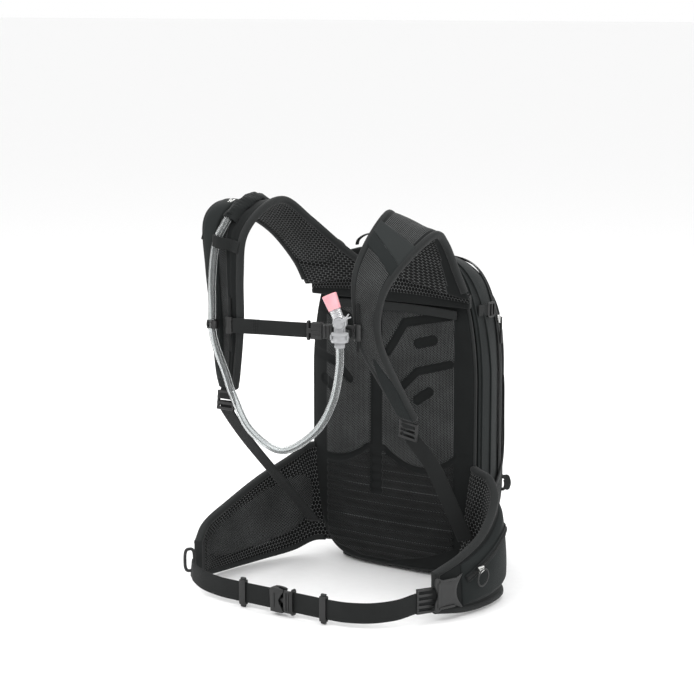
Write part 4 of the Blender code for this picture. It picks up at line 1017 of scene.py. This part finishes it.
# %% Belt webbing and its hardware
BELT_Z = 0.018
BELT_LEFT = smooth([(-.0125, -.3165, BELT_Z), (-.04, -.3165, BELT_Z), (-.07, -.3165, BELT_Z),
    (-.094, -.316, .0185), (-.122, -.3125, .021), (-.142, -.305, .025), (-.152, -.2985, .0285)], 14)
BELT_RIGHT = smooth([(.0105, -.3165, BELT_Z), (.04, -.3165, BELT_Z), (.07, -.3165, BELT_Z),
    (.096, -.313, .018), (.122, -.3, .0185), (.142, -.279, .0205), (.152, -.258, .0238),
    (.158, -.2475, .0256), (.1625, -.2395, .0272), (.172, -.229, .0305)], 14)
dress(cloth_strip("belt_webbing_left", BELT_LEFT, UP, 0.0125), WEBBING, "hip_webbing_left")
belt_right = dress(cloth_strip("belt_webbing_right", BELT_RIGHT, UP, 0.0125), WEBBING, "hip_webbing_right",
    body=None)
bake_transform(belt_right)

for name, x in (("left", -0.056), ("right", 0.064)):
    at, ahead, out = np.array((x, -0.3165, BELT_Z)), (1, 0, 0), np.array((0, -1.0, 0))
    grids = [block(at + out * k * 0.0026, ahead, out, (0.0092, 0.03, 0.0014)) for k in (-1, 1)]
    grids += [block(at + UP * k * 0.0145, ahead, out, (0.0092, 0.0022, 0.0062)) for k in (-1, 1)]
    grids += [block(at + UP * k * 0.0168, ahead, out, (0.0066, 0.0034, 0.0044), 2.5) for k in (-1, 1)]
    make("belt_keeper_" + name, grids, MOULDED, "hip_keeper_" + name, body="hip_keeper_" + name)

loop = loop_bar((-.1605, -.292, .0355), unit((-.62, -.78, 0)), UP, 0.012, 0.028, 0.8, 0.002, 0.0016)
make("belt_oval_loop", [loop], MOULDED, "hip_loop_left", ends="loop")


def slab(outline, centre, x_axis, z_axis, thickness):
    """Grid of a flat moulded piece: its outline drawn at four heights, smaller at the two faces."""
    outline = np.asarray(outline, float)
    x_axis, z_axis = unit(x_axis), unit(z_axis)
    y_axis = np.cross(z_axis, x_axis)
    rings = []
    for scale, h in ((0.55, -.5), (0.93, -.5), (1.0, -.28), (1.0, .28), (0.93, .5), (0.55, .5)):
        p = outline * scale
        rings.append(np.asarray(centre) + p[:, :1] * x_axis + p[:, 1:] * y_axis + h * thickness * z_axis)
    return np.array(rings)


ahead, out = unit((-.3, -.95, 0)), unit((.95, -.3, 0))
star = [(-.02, -.021), (-.006, -.0155), (.006, -.016), (.02, -.021), (.0225, -.012), (.018, .0),
    (.0225, .012), (.02, .021), (.006, .016), (-.006, .0155), (-.02, .021), (-.013, .01), (-.0105, .0),
    (-.013, -.01)]
star = smooth(star + star[:1], 5)[:-1]
plate_at = np.array((.178, -.219, .033))
grids = [slab(star, plate_at, ahead, out, 0.0026)]
for y in (-0.0165, 0.0165):
    grids.append(block(plate_at + ahead * 0.004 + UP * y + out * 0.0016, ahead, out, (0.024, 0.003, 0.0014)))
grids.append(block(plate_at + ahead * 0.0175 + out * 0.0016, UP, out, (0.03, 0.003, 0.0014)))
make("belt_side_plate", grids, MOULDED, "hip_plate_right")
ladder("belt_adjuster", "hip_adjuster_right", (.16, -.244, .0265), (-.47, -.88, 0), (.88, -.47, 0), 0.024,
    0.031, 5)
print("belt hardware built")

# %% [markdown]
# The side-release buckle. The socket is a hollow shell with a window on each edge; the plug's two prongs
# spring out into the windows, and its middle tongue keeps it straight. Prongs are their own pieces, because
# they bend.

# %% Belt buckle
at = np.array((0.0, -0.3165, BELT_Z))
X, Y = np.array((1.0, 0, 0)), np.array((0, -1.0, 0))


def chevron(half, near, far, notch):
    """Outline of the socket's face: straight at the webbing, with a V-shaped mouth on the plug's side."""
    return [(near, -half), (far, -half), (far - notch * 0.35, -half * 0.55), (far - notch, 0),
        (far - notch * 0.35, half * 0.55), (far, half), (near, half), (near - 0.001, 0)]


def by_belt_buckle(x, y, z=0.0):
    """Place by the belt buckle's middle: x along the belt, y outwards, z up."""
    return at + X * x + Y * y + UP * z


face = smooth(chevron(.0145, -.0112, .0068, .0062) + [(-.0112, -.0145)], 6)[:-1]
grids = [slab(face, at + Y * 0.0044, X, Y, 0.002), slab(face, at - Y * 0.0044, X, Y, 0.002)]
grids += blocks(by_belt_buckle, Y, [((-.0072, 0, -.0136), X, (.0092, .002, .009)),
    ((-.0072, 0, .0136), X, (.0092, .002, .009)), ((-.0103, 0), UP, (.028, .003, .0098)),
    ((-.006, .0056), UP, (.018, .0016, .0012))])
make("belt_buckle_socket", grids, MOULDED, "hip_buckle_socket")
grids = blocks(by_belt_buckle, Y, [((.001, 0), X, (.016, .0075, .0042)),
    ((.013, .0034), X, (.011, .0278, .0028)), ((.0085, .0006), X, (.003, .01, .0056)),
    ((.0112, .0052), UP, (.022, .0016, .001)), ((.015, .0052), UP, (.022, .0016, .001))])
make("belt_buckle_plug", grids, MOULDED, "hip_buckle_plug", body="hip_plug")
ring = loop_bar(at + X * 0.0195, UP, Y, 0.0288, 0.0066, 0.15, 0.002, 0.0012)
make("belt_plug_ring", [ring], MOULDED, body="hip_plug", ends="loop")
for name, k in (("upper", 1), ("lower", -1)):
    prong = smooth([(0.0065, 0.0105), (0.001, 0.0104), (-0.0035, 0.0112)], 10)
    path = at + X * prong[:, :1] + UP * k * prong[:, 1:]
    grids = [carry(path, Y, superoval(16, 0.0019, 0.0013, 4.0)),
        block(at + X * -0.004 + UP * k * 0.0118, X, Y, (0.003, 0.0026, 0.0038))]
    make("belt_prong_" + name, grids, MOULDED, "hip_prong_" + name, body="hip_prong_" + name)
print("belt buckle built")

# %% [markdown]
# The bag is one formula. Its angle theta runs from 0 at the rim behind the back panel to 90 degrees at the
# front's middle, v runs round it. Each level is a superellipse, a rounded rectangle, that shrinks towards the
# front. Shallow folds are added to it, because a filled cloth bag is never quite smooth. Inner and outer wall
# are one closed surface.

# %% Bag
BAG_HALF_WIDTH, BAG_DEPTH, BAG_MIDDLE_Z, BAG_RISE, RIM_Y = 0.125, 0.158, 0.21, 0.205, -0.068
SQUARE, ZIP_ANGLE = 0.42, 26.0


def taper(z):
    """The bag narrows towards its top, and a little towards its foot."""
    return 1 - 0.14 * np.maximum(0, (z - 0.26) / 0.155) ** 1.5 - 0.07 * np.maximum(0, (0.12 - z) / 0.12)


def bag_level(theta, v):
    """Superellipse |cos v|^0.42, |sin v|^0.42, shrunk by powers of cos theta, moved by sin theta."""
    th, vv = np.broadcast_arrays(np.radians(theta), np.radians(v))
    c, s, shrink = np.cos(vv), np.sin(vv), np.maximum(np.cos(th), 0)
    x = BAG_HALF_WIDTH * np.sign(c) * np.abs(c) ** SQUARE * shrink ** 0.95
    z = BAG_MIDDLE_Z + BAG_RISE * np.sign(s) * np.abs(s) ** SQUARE * shrink ** np.where(s > 0, 0.62, 0.3)
    return np.stack([x * taper(z), RIM_Y + BAG_DEPTH * np.sin(th), z], -1)


def on_bag(theta, v, lift=0.0):
    """Point on the bag lifted along its outward normal."""
    theta, v, lift = np.broadcast_arrays(np.asarray(theta, float), np.asarray(v, float),
        np.asarray(lift, float))
    here = bag_level(theta, v)
    d = 1.1
    normal = unit(np.cross(bag_level(theta, v + d) - bag_level(theta, v - d),
        bag_level(np.minimum(theta + d, 89.9), v) - bag_level(theta - d, v)))
    away = here - np.array((0, -0.05, BAG_MIDDLE_Z))
    normal *= np.sign((normal * away).sum(-1, keepdims=True))
    return here + normal * lift[..., None]


def bag_out(theta, v):
    """Outward direction on the bag."""
    return unit(on_bag(theta, v, 0.02) - on_bag(theta, v))


def folds(theta, v):
    """Shallow folds and dents: two slow waves of different direction, at most 1.5 mm."""
    t, w = np.radians(theta), np.radians(v)
    calm = np.cos(t) ** 2
    wide, narrow = np.sin(7 * w + 9 * t) * np.sin(3 * t), np.sin(11 * w - 6 * t + 1.3) * np.sin(2 * t)
    return (0.0009 * wide + 0.0007 * narrow) * calm - 0.0004


def even_round(count, start=0.0, end=360.0, closed=True):
    """Values of v spread evenly round the rounded rectangle: the angle of (cos^2.38 t, sin^2.38 t)."""
    t = np.radians(np.linspace(start, end, count, endpoint=not closed))
    power = lambda value: np.sign(value) * np.abs(value) ** (1 / SQUARE)
    return np.degrees(np.unwrap(np.arctan2(power(np.sin(t)), power(np.cos(t)))))


round_v = even_round(240)
levels = np.linspace(0, 88.5, 64)
T, V = np.meshgrid(levels, round_v, indexing="ij")
outside = on_bag(T, V, folds(T, V))
inside_wall = on_bag(T, V, folds(T, V) - 0.0016)
bag = make("bag_cloth", [np.concatenate([inside_wall[::-1], outside], 0)], PACK_CLOTH, "bag_shell")


def bag_patch(name, thetas, span, low, high, rows=40, cols=60, relief=None):
    """A stretch of cloth over the bag between two heights; span(theta) gives where v starts and ends."""
    a, b = np.meshgrid(np.linspace(0, 1, rows), np.linspace(0, 1, cols), indexing="ij")
    theta = thetas[0] + (thetas[1] - thetas[0]) * a
    start, end = span(theta)
    v = start + (end - start) * b
    rim = np.minimum(np.minimum(a, 1 - a), np.minimum(b, 1 - b))
    edge = np.clip(rim * 14, 0, 1) ** 0.5
    over = low + (high - low) * edge + (relief(a, b) if relief else 0) * np.clip(rim * 5, 0, 1) ** 0.7
    top, under = on_bag(theta, v, over), on_bag(theta, v, low - 0.0004)
    return skin(name, [np.concatenate([top, under[:, ::-1]], 1)])


print("bag cloth:", len(bag.data.vertices), "points")

# %% [markdown]
# Pockets of stretch knit lie over the sides and the front. Their upper hem is bound, and the knit bellies out
# a little between its seams.

# %% Stretch pockets
def side_span(side):
    """From the bag's base up to a hem that climbs towards the front."""
    def span(theta):
        low, top = -62 + 0 * theta, -8 + 0.35 * (theta - 20)
        return (low, top) if side > 0 else (180 - low, 180 - top)
    return span


for side, name in ((-1, "left"), (1, "right")):
    dress(bag_patch("side_pocket_knit_" + name, (4, 48), side_span(side), 0.0014, 0.003, 50, 50, lambda a,
        b: 0.0018 * np.sin(np.pi * np.clip(b, 0, 1)) + 0.0004 * np.sin(14 * b + 5 * a)), KNIT,
        "side_pocket_" + name)
    theta = np.linspace(5, 47, 50)
    hem_v = side_span(side)(theta)[1]
    hem = on_bag(theta, hem_v, 0.0036)
    out = bag_out(theta, hem_v)
    make("side_pocket_hem_" + name, [carry(hem, np.cross(unit(np.gradient(hem, axis=0)), out),
        superoval(14, 0.0042, 0.0012, 3.0))], BINDING)

angles = np.array([52, 54, 58, 67, 77, 86.5])
lifts = np.array([0.0035, 0.0075, 0.01, 0.012, 0.013, 0.013])
T, V = np.meshgrid(np.linspace(52, 86.5, 50), round_v, indexing="ij")
belly = np.interp(T, angles, lifts) + 0.0006 * np.sin(np.radians(V) * 4 + T *
    0.1) * np.cos(np.radians(T)) ** 2
make("front_pocket_knit", [np.concatenate([on_bag(T[::-1], V[::-1], 0.0009), on_bag(T, V, belly)], 0)], KNIT,
    "front_pocket")
hem = on_bag(53.0, round_v, 0.0058)
make("front_pocket_hem", [carry(hem, bag_out(53.0, round_v), superoval(10, 0.0022, 0.0022, 2.0),
    closed=True)], BINDING, ends="loop")
print("pockets built")

# %% [markdown]
# The main zip arches over the bag: two tapes with a wound coil between them, sliders on both sides. Piping
# marks the sewn edges of the side panel, and two webbing tabs with hooks stand for the compression straps.

# %% Zips, piping and hooks
arch_v = even_round(260, -27.5, 207.5, False)
line = on_bag(ZIP_ANGLE, arch_v, 0.0013)
arch_up = bag_out(ZIP_ANGLE, arch_v)
across = unit(np.cross(unit(np.gradient(line, axis=0)), arch_up))
make("main_zip_tape", [carry(line, across, superoval(16, 0.0085, 0.0006, 6.0))], ("webbing", STRETCH_KNIT),
    "main_zip")
dress(coil("main_zip_coil", line + arch_up * 0.0009, arch_up), COIL)
for side, name in ((1, "right"), (-1, "left")):
    v = 18.0 if side > 0 else 162.0
    out = bag_out(ZIP_ANGLE, v)
    along = unit(on_bag(ZIP_ANGLE, v + 3) - on_bag(ZIP_ANGLE, v - 3))
    slider("main_slider_plated_" + name, "main_zip_slider_" + name, "main_slider_" + name,
        middle_of("main_zip_slider_" + name), along, out, size=1.2)

pull_top = np.array((0.1131, 0.00382, 0.33051))
out = unit((0.9226, 0.34163, 0.17916))
width = unit(np.cross((0, 0, -1), out))
side_cord = [carry(pull_top + width * (0.0012 * k) + out * 0.0003 - UP * np.linspace(0, 0.0175, 14)[:, None],
    width, superoval(8, 0.0009, 0.0008, 2.0)) for k in (-1, 1)]
h = np.linspace(0, 1, 20)
tip = carry(pull_top - UP * (0.0165 + 0.0175 * h)[:, None], width, superoval(18, 0.0031, 0.002, 3.0),
    0.62 + 0.38 * np.sin(np.pi * np.clip(h * 0.9 + 0.1, 0, 1)) ** 0.6)
make("main_pull_cord", side_cord + [tip], MOULDED, "main_zip_pull_right", body="main_pull_right")

slider("front_slider_moulded", "front_zip_slider", "front_slider", middle_of("front_zip_slider"), (1, 0, 0),
    (0, 0.83, 0.558), MOULDED)
strap_out = unit((-0.0262, -0.3318, 0.943))
slider("strap_slider_plated", "strap_zip_slider", "strap_slider", middle_of("strap_zip_slider"),
    np.cross(strap_out, (1, 0, 0)), strap_out)

for side, name in ((1, "right"), (-1, "left")):
    mirror = lambda v: v if side > 0 else 180 - v
    seams = [(np.linspace(2.0, 2.0, 120), np.linspace(-70, 78, 120)),
        (np.interp(np.linspace(0, 1, 120), [0, .5, 1], [11, 11, 4]), np.linspace(-66, 70, 120))]
    grids = []
    for theta, v in seams:
        v = mirror(v)
        cord = on_bag(theta, v, 0.0012)
        out = bag_out(theta, v)
        grids.append(carry(cord, out, superoval(12, 0.0011, 0.0011, 2.0)))
    make("side_piping_" + name, grids, ("webbing", PACK_CLOTH[1]))
    v = mirror(22.0)
    hook_at, out = on_bag(15.0, v, 0.005), bag_out(15.0, v)
    frame_ring = loop_bar(hook_at, Y, UP, 0.015, 0.017, 0.35, 0.0013, 0.0016)
    make("compression_hook_" + name + "_ring", [frame_ring], MOULDED, "compression_hook_" + name, ends="loop")
    bar = [block(hook_at + Y * -0.0005, UP, out, (0.016, 0.0026, 0.003))]
    make("compression_hook_" + name + "_bar", bar, MOULDED)
    theta = np.linspace(4.0, 14.0, 24)
    strap_path = on_bag(theta, v, 0.0018 + 0.0022 * step(theta, 9, 4))
    dress(cloth_strip("compression_webbing_" + name, strap_path, UP, 0.007), WEBBING)
    theta = np.linspace(3.0, 12.0, 24)
    tab_path = on_bag(theta, mirror(-13.0), 0.007 + 0.001 * np.sin(theta))
    dress(cloth_strip("side_tab_" + name, tab_path, UP, 0.0055, 0.0012), WEBBING)

tab_root, tab_out = on_bag(34.0, -12.0), bag_out(34.0, -12.0)
arc = smooth([(.003, -.0085), (.0085, -.0078), (.0104, -.004), (.011, 0), (.0104, .004), (.0085, .0078),
    (.003, .0085)], 6)
path = tab_root + tab_out * arc[:, :1] + UP * arc[:, 1:]
dress(cloth_strip("light_loop", path, (0.3, 1.0, 0), 0.006), WEBBING, "light_tab")
print("zips and trim built")

# %% [markdown]
# A webbing loop at the top is the handle to lift the pack by. It swings about its two sewn ends.

# %% Haul loop and port
PIVOT = np.array((-0.01, -0.076, 0.4195))
shape = smooth([(-.045, 0), (-.042, .007), (-.03, .014), (-.01, .0175), (.012, .0175), (.032, .013),
    (.042, .006), (.045, 0)], 10)
path = PIVOT + np.stack([shape[:, 0], 0 * shape[:, 0], shape[:, 1]], 1)
dress(cloth_strip("haul_loop_webbing", path, (0, 1, 0), 0.0032, 0.0009), WEBBING, "haul_loop",
    body="haul_loop")
grommet = turned([(.0052, .0016), (.0078, .0022), (.0104, .0012), (.011, 0), (.0104, -.0012),
    (.0078, -.0022), (.0052, -.0016)], (-.088, -.0515, .401), UP, 32)
make("port_grommet", [grommet], MOULDED, ends="loop")
print("haul loop and grommet built")

# %% [markdown]
# The bag's foot: a boot of coated cloth over the stiff base plate. Its outline on the floor is the plate's,
# and its walls rise a little inwards until they meet the rounded underside of the bag, so that the bag stands
# and doesn't roll.

# %% Boot over the base plate
BOOT_HALF_WIDTH, BOOT_HALF_DEPTH, BOOT_MIDDLE_Y = 0.1, 0.06, -0.003


def under_bag(x, y):
    """Height of the bag's underside at (x, y): half way round its rounded rectangle, from below."""
    forward = np.clip((y - RIM_Y) / BAG_DEPTH, 0, 0.99)
    shrink = np.sqrt(1 - forward ** 2)
    share = np.clip(np.abs(x) / (BAG_HALF_WIDTH * shrink ** 0.95 * 0.93), 0, 0.9)
    return BAG_MIDDLE_Z - BAG_RISE * (1 - share ** (2 / SQUARE)) ** (SQUARE / 2) * shrink ** 0.3


rings = []
for scale, rise in ((0.9, 0.0), (0.985, 0.0), (1.0, 0.004), (1.0, 0.12), (0.985, 0.45), (0.96, 0.8),
        (0.93, 1.0), (0.8, 1.0)):
    square = 6.0 - 3.2 * rise
    x, y = superoval(160, BOOT_HALF_WIDTH * scale, BOOT_HALF_DEPTH * scale, square).T
    y = y + BOOT_MIDDLE_Y
    top = under_bag(x, y) + 0.003
    rings.append(np.stack([x, y, 0.0003 + rise * top], 1))
make("base_boot", [np.array(rings)], PANEL_CLOTH, "base_panel")
print("boot rises to", round(float(np.max(rings[-1][:, 2])), 4))

# %% [markdown]
# The back panel is foam under net, pressed into shape in a mould. Fine net covers the two raised fields
# beside the spine and the ribbed lumbar field; the channels between them are pressed flat and show plain
# cloth. Distances to the channels' lines give both the depth and the cloth, so the two always agree.

# %% Back panel
SPINE_X, PANEL_Y, PANEL_BACK = -0.0225, -0.0772, -0.0702


def to_line(x, z, line):
    """Distance of each (x, z) to a chain of straight pieces: the least over the pieces."""
    best = np.full(x.shape, 1.0)
    for (ax, az), (bx, bz) in zip(line, line[1:]):
        t = np.clip(((x - ax) * (bx - ax) + (z - az) * (bz - az)) / ((bx - ax) ** 2 + (bz - az) ** 2), 0, 1)
        best = np.minimum(best, np.hypot(x - ax - t * (bx - ax), z - az - t * (bz - az)))
    return best


def panel_half_width(z):
    """Half the panel's width at a height: the bag's rounded rectangle with its taper, a little narrower."""
    z_share = np.abs((z - BAG_MIDDLE_Z) / BAG_RISE)
    return BAG_HALF_WIDTH * 0.985 * np.maximum(1 - z_share ** (2 / SQUARE), 0) ** (SQUARE / 2) * taper(z)


def panel_crown(x, z):
    """The foam's crown: highest in the middle, low under the yoke and at the edges."""
    side = np.clip(np.abs(x) / (panel_half_width(z) + 1e-6), 0, 1)
    return 0.0085 * (1 - side ** 2.6) * (1 - step(z, 0.285, 0.055) * 0.85) * step(z, 0.004, 0.05)


def panel_relief(x, z):
    """Zone and height from the mould's lines, mirrored about the spine; the zone also carries painted shade, -1
    in the lumbar ribs' grooves and scaled down over the panel's far left side.
    """
    flat_x = x - 0.7 * panel_crown(x, z)
    m = np.abs(flat_x - SPINE_X)
    here = m + SPINE_X
    upper = to_line(here, z, [(-.0048, .2878), (.0209, .3263), (.0893, .3402)])
    lower = to_line(here, z, [(.0184, .2462), (.0394, .2666), (.0885, .2794)])
    dots = np.minimum(to_line(here, z, [(.041, .302), (.064, .308)]),
        to_line(here, z, [(.04, .23), (.058, .242)]))
    tongue = 0.1415 + 0.0155 * np.clip(np.abs(here - 0.045) / 0.045, 0, 1.2) ** 2
    base_line = np.interp(m, [0, .0225, .0785, .106, .13], [.01, .01, .0235, .0345, .045])
    spine = 1 - step(m, 0.0075, 0.003)
    margin = np.maximum(step(here, 0.0925, 0.004), step(-flat_x, 0.098, 0.004))
    # Painted shade: over the panel's left part, the side turned away from the camera, the zone falls to 0.6,
    # making the net there a little plainer and darker.
    painted_far_side_shade = 1 - 0.4 * step(-flat_x, 0.045, 0.04)
    field = step(z, tongue, 0.004) * (1 - step(z, 0.343, 0.004))
    lumbar = (1 - step(z, tongue - 0.0085, 0.004)) * step(z, base_line, 0.004)
    cut = np.maximum.reduce([1 - step(upper, 0.0042, 0.003), 1 - step(lower, 0.0038, 0.003),
        spine * step(z, 0.097, 0.006)])
    mark = 1 - step(dots, 0.0055, 0.002)
    puff = 0.0034 * (1 - cut) * (1 - margin * 0.7) * (field + lumbar * 0.8)
    ridges = 0.0011 * np.cos(2 * np.pi * z / 0.011) * lumbar * (1 - margin)
    height = puff + ridges - 0.0022 * mark * (1 - cut)
    # Painted shade: the lumbar net gets zone -1, darkened, everywhere but a band on each rib's crest, so the
    # grooves between the ribs read as shaded.
    lines = 1 - 1.9 * lumbar * step(np.cos(2 * np.pi * z / 0.011), 0.8, 0.15)
    zone = (field * (1 - mark) - lumbar * lines) * (1 - cut) * (1 - margin) * painted_far_side_shade
    return zone, height


t = np.linspace(-1, 1, 300)
rows = BAG_MIDDLE_Z + BAG_RISE * np.clip(0.8 * t + 0.2 * np.sin(t * np.pi / 2), -0.9996, 0.9996)
share = np.linspace(-1, 1, 172)
Z, S = np.meshgrid(rows, share, indexing="ij")
wide = panel_half_width(Z)
PX = wide * S
zone, rise = panel_relief(PX, Z)
at_side, at_end = np.abs(S) ** 14, np.abs((Z - BAG_MIDDLE_Z) / BAG_RISE) ** 30
round_edge = np.maximum(1 - at_side, 0) ** 0.5 * np.maximum(1 - at_end, 0) ** 0.5
front_y = -0.0735 - (-0.0735 - PANEL_Y + panel_crown(PX, Z) + rise) * round_edge
front_face = np.stack([PX, front_y, Z], -1)
back_share = np.linspace(1, -1, 12)[1:-1]
back_x = panel_half_width(rows)[:, None] * back_share
back_face = np.stack([back_x, 0 * back_x + PANEL_BACK, 0 * back_x + rows[:, None]], -1)
panel = make("back_panel_net", [np.concatenate([front_face, back_face], 1)], ZONED, "back_panel",
    zone=[np.concatenate([zone, 0 * back_face[..., 0]], 1)])

edge_v = even_round(260)
edge = bag_level(0.0, edge_v) * (0.985, 1, 1) + (0, -0.0058, 0)
make("back_panel_piping", [carry(edge, (0, 1, 0), superoval(12, 0.002, 0.002, 2.0), closed=True)], BINDING,
    ends="loop")
x = np.linspace(-0.098, 0.098, 60)
under = np.stack([x, -0.08 - 0.0035 * np.cos(x / 0.098 * 1.4), 0.3455 - 0.004 * np.abs(x / 0.098) ** 2], 1)
dress(cloth_strip("yoke_seam_tape", under, UP, 0.0055, 0.001), BINDING)
print("back panel built:", len(panel.data.vertices), "points")

# %% [markdown]
# Inside the bag are a stiffening sheet, a sleeve, and the water reservoir with its cap and the hose's
# connector. They aren't seen from outside, so each keeps its simple body with its own material.

# %% Inside pieces
NODE_FINISH = {"frame_sheet": BOARD, "reservoir_sleeve": PANEL_CLOTH[1], "reservoir_bladder": FILM,
    "reservoir_cap": ACETAL, "hose_connector": ACETAL}
for name, finish in NODE_FINISH.items():
    materials = bpy.data.objects[name].data.materials
    materials.clear()
    materials.append(finish)
print("inside pieces finished")

# %% [markdown]
# The room: a pale plain floor, a near-white world, and big soft lights, one in front, one at each side and
# one above, so the black cloth keeps its shape without hard shadows.

# %% Floor, lights and the end
FLOOR_HALF, FLOOR_Z = 60, -0.0012
floor_mesh = bpy.data.meshes.new("floor")
floor_mesh.from_pydata([(x * FLOOR_HALF, y * FLOOR_HALF, FLOOR_Z) for x,
    y in ((-1, -1), (1, -1), (1, 1), (-1, 1))], [], [(0, 1, 2, 3)])
floor = put("floor", floor_mesh)
floor_mesh.materials.append(plastic("plain_floor", "#f6f6f6", "#fbfbfb", 0.9, 0.0))


def soft_light(name, place, size, watts):
    """Square area light that looks at the pack's middle."""
    lamp = bpy.data.lights.new(name, "AREA")
    lamp.energy, lamp.size = watts, size
    made = put(name, lamp)
    made.location = place
    made.rotation_euler = (Vector((0.0, -0.1, 0.22)) - Vector(place)).to_track_quat("-Z", "Y").to_euler()


soft_light("key", (-0.9, -1.8, 1.9), 1.4, 24)
soft_light("fill", (2.2, -0.6, 1.0), 1.6, 18)
soft_light("top", (0.2, 0.3, 2.4), 1.8, 22)
soft_light("back", (-1.6, 1.6, 1.3), 1.6, 12)
world = bpy.data.worlds.new("studio")
world.use_nodes = True
sky = world.node_tree.nodes["Background"]
sky.inputs["Color"].default_value, sky.inputs["Strength"].default_value = linear("#ffffff"), 1.0
bpy.context.scene.world = world
bpy.context.scene.view_settings.view_transform = "Standard"
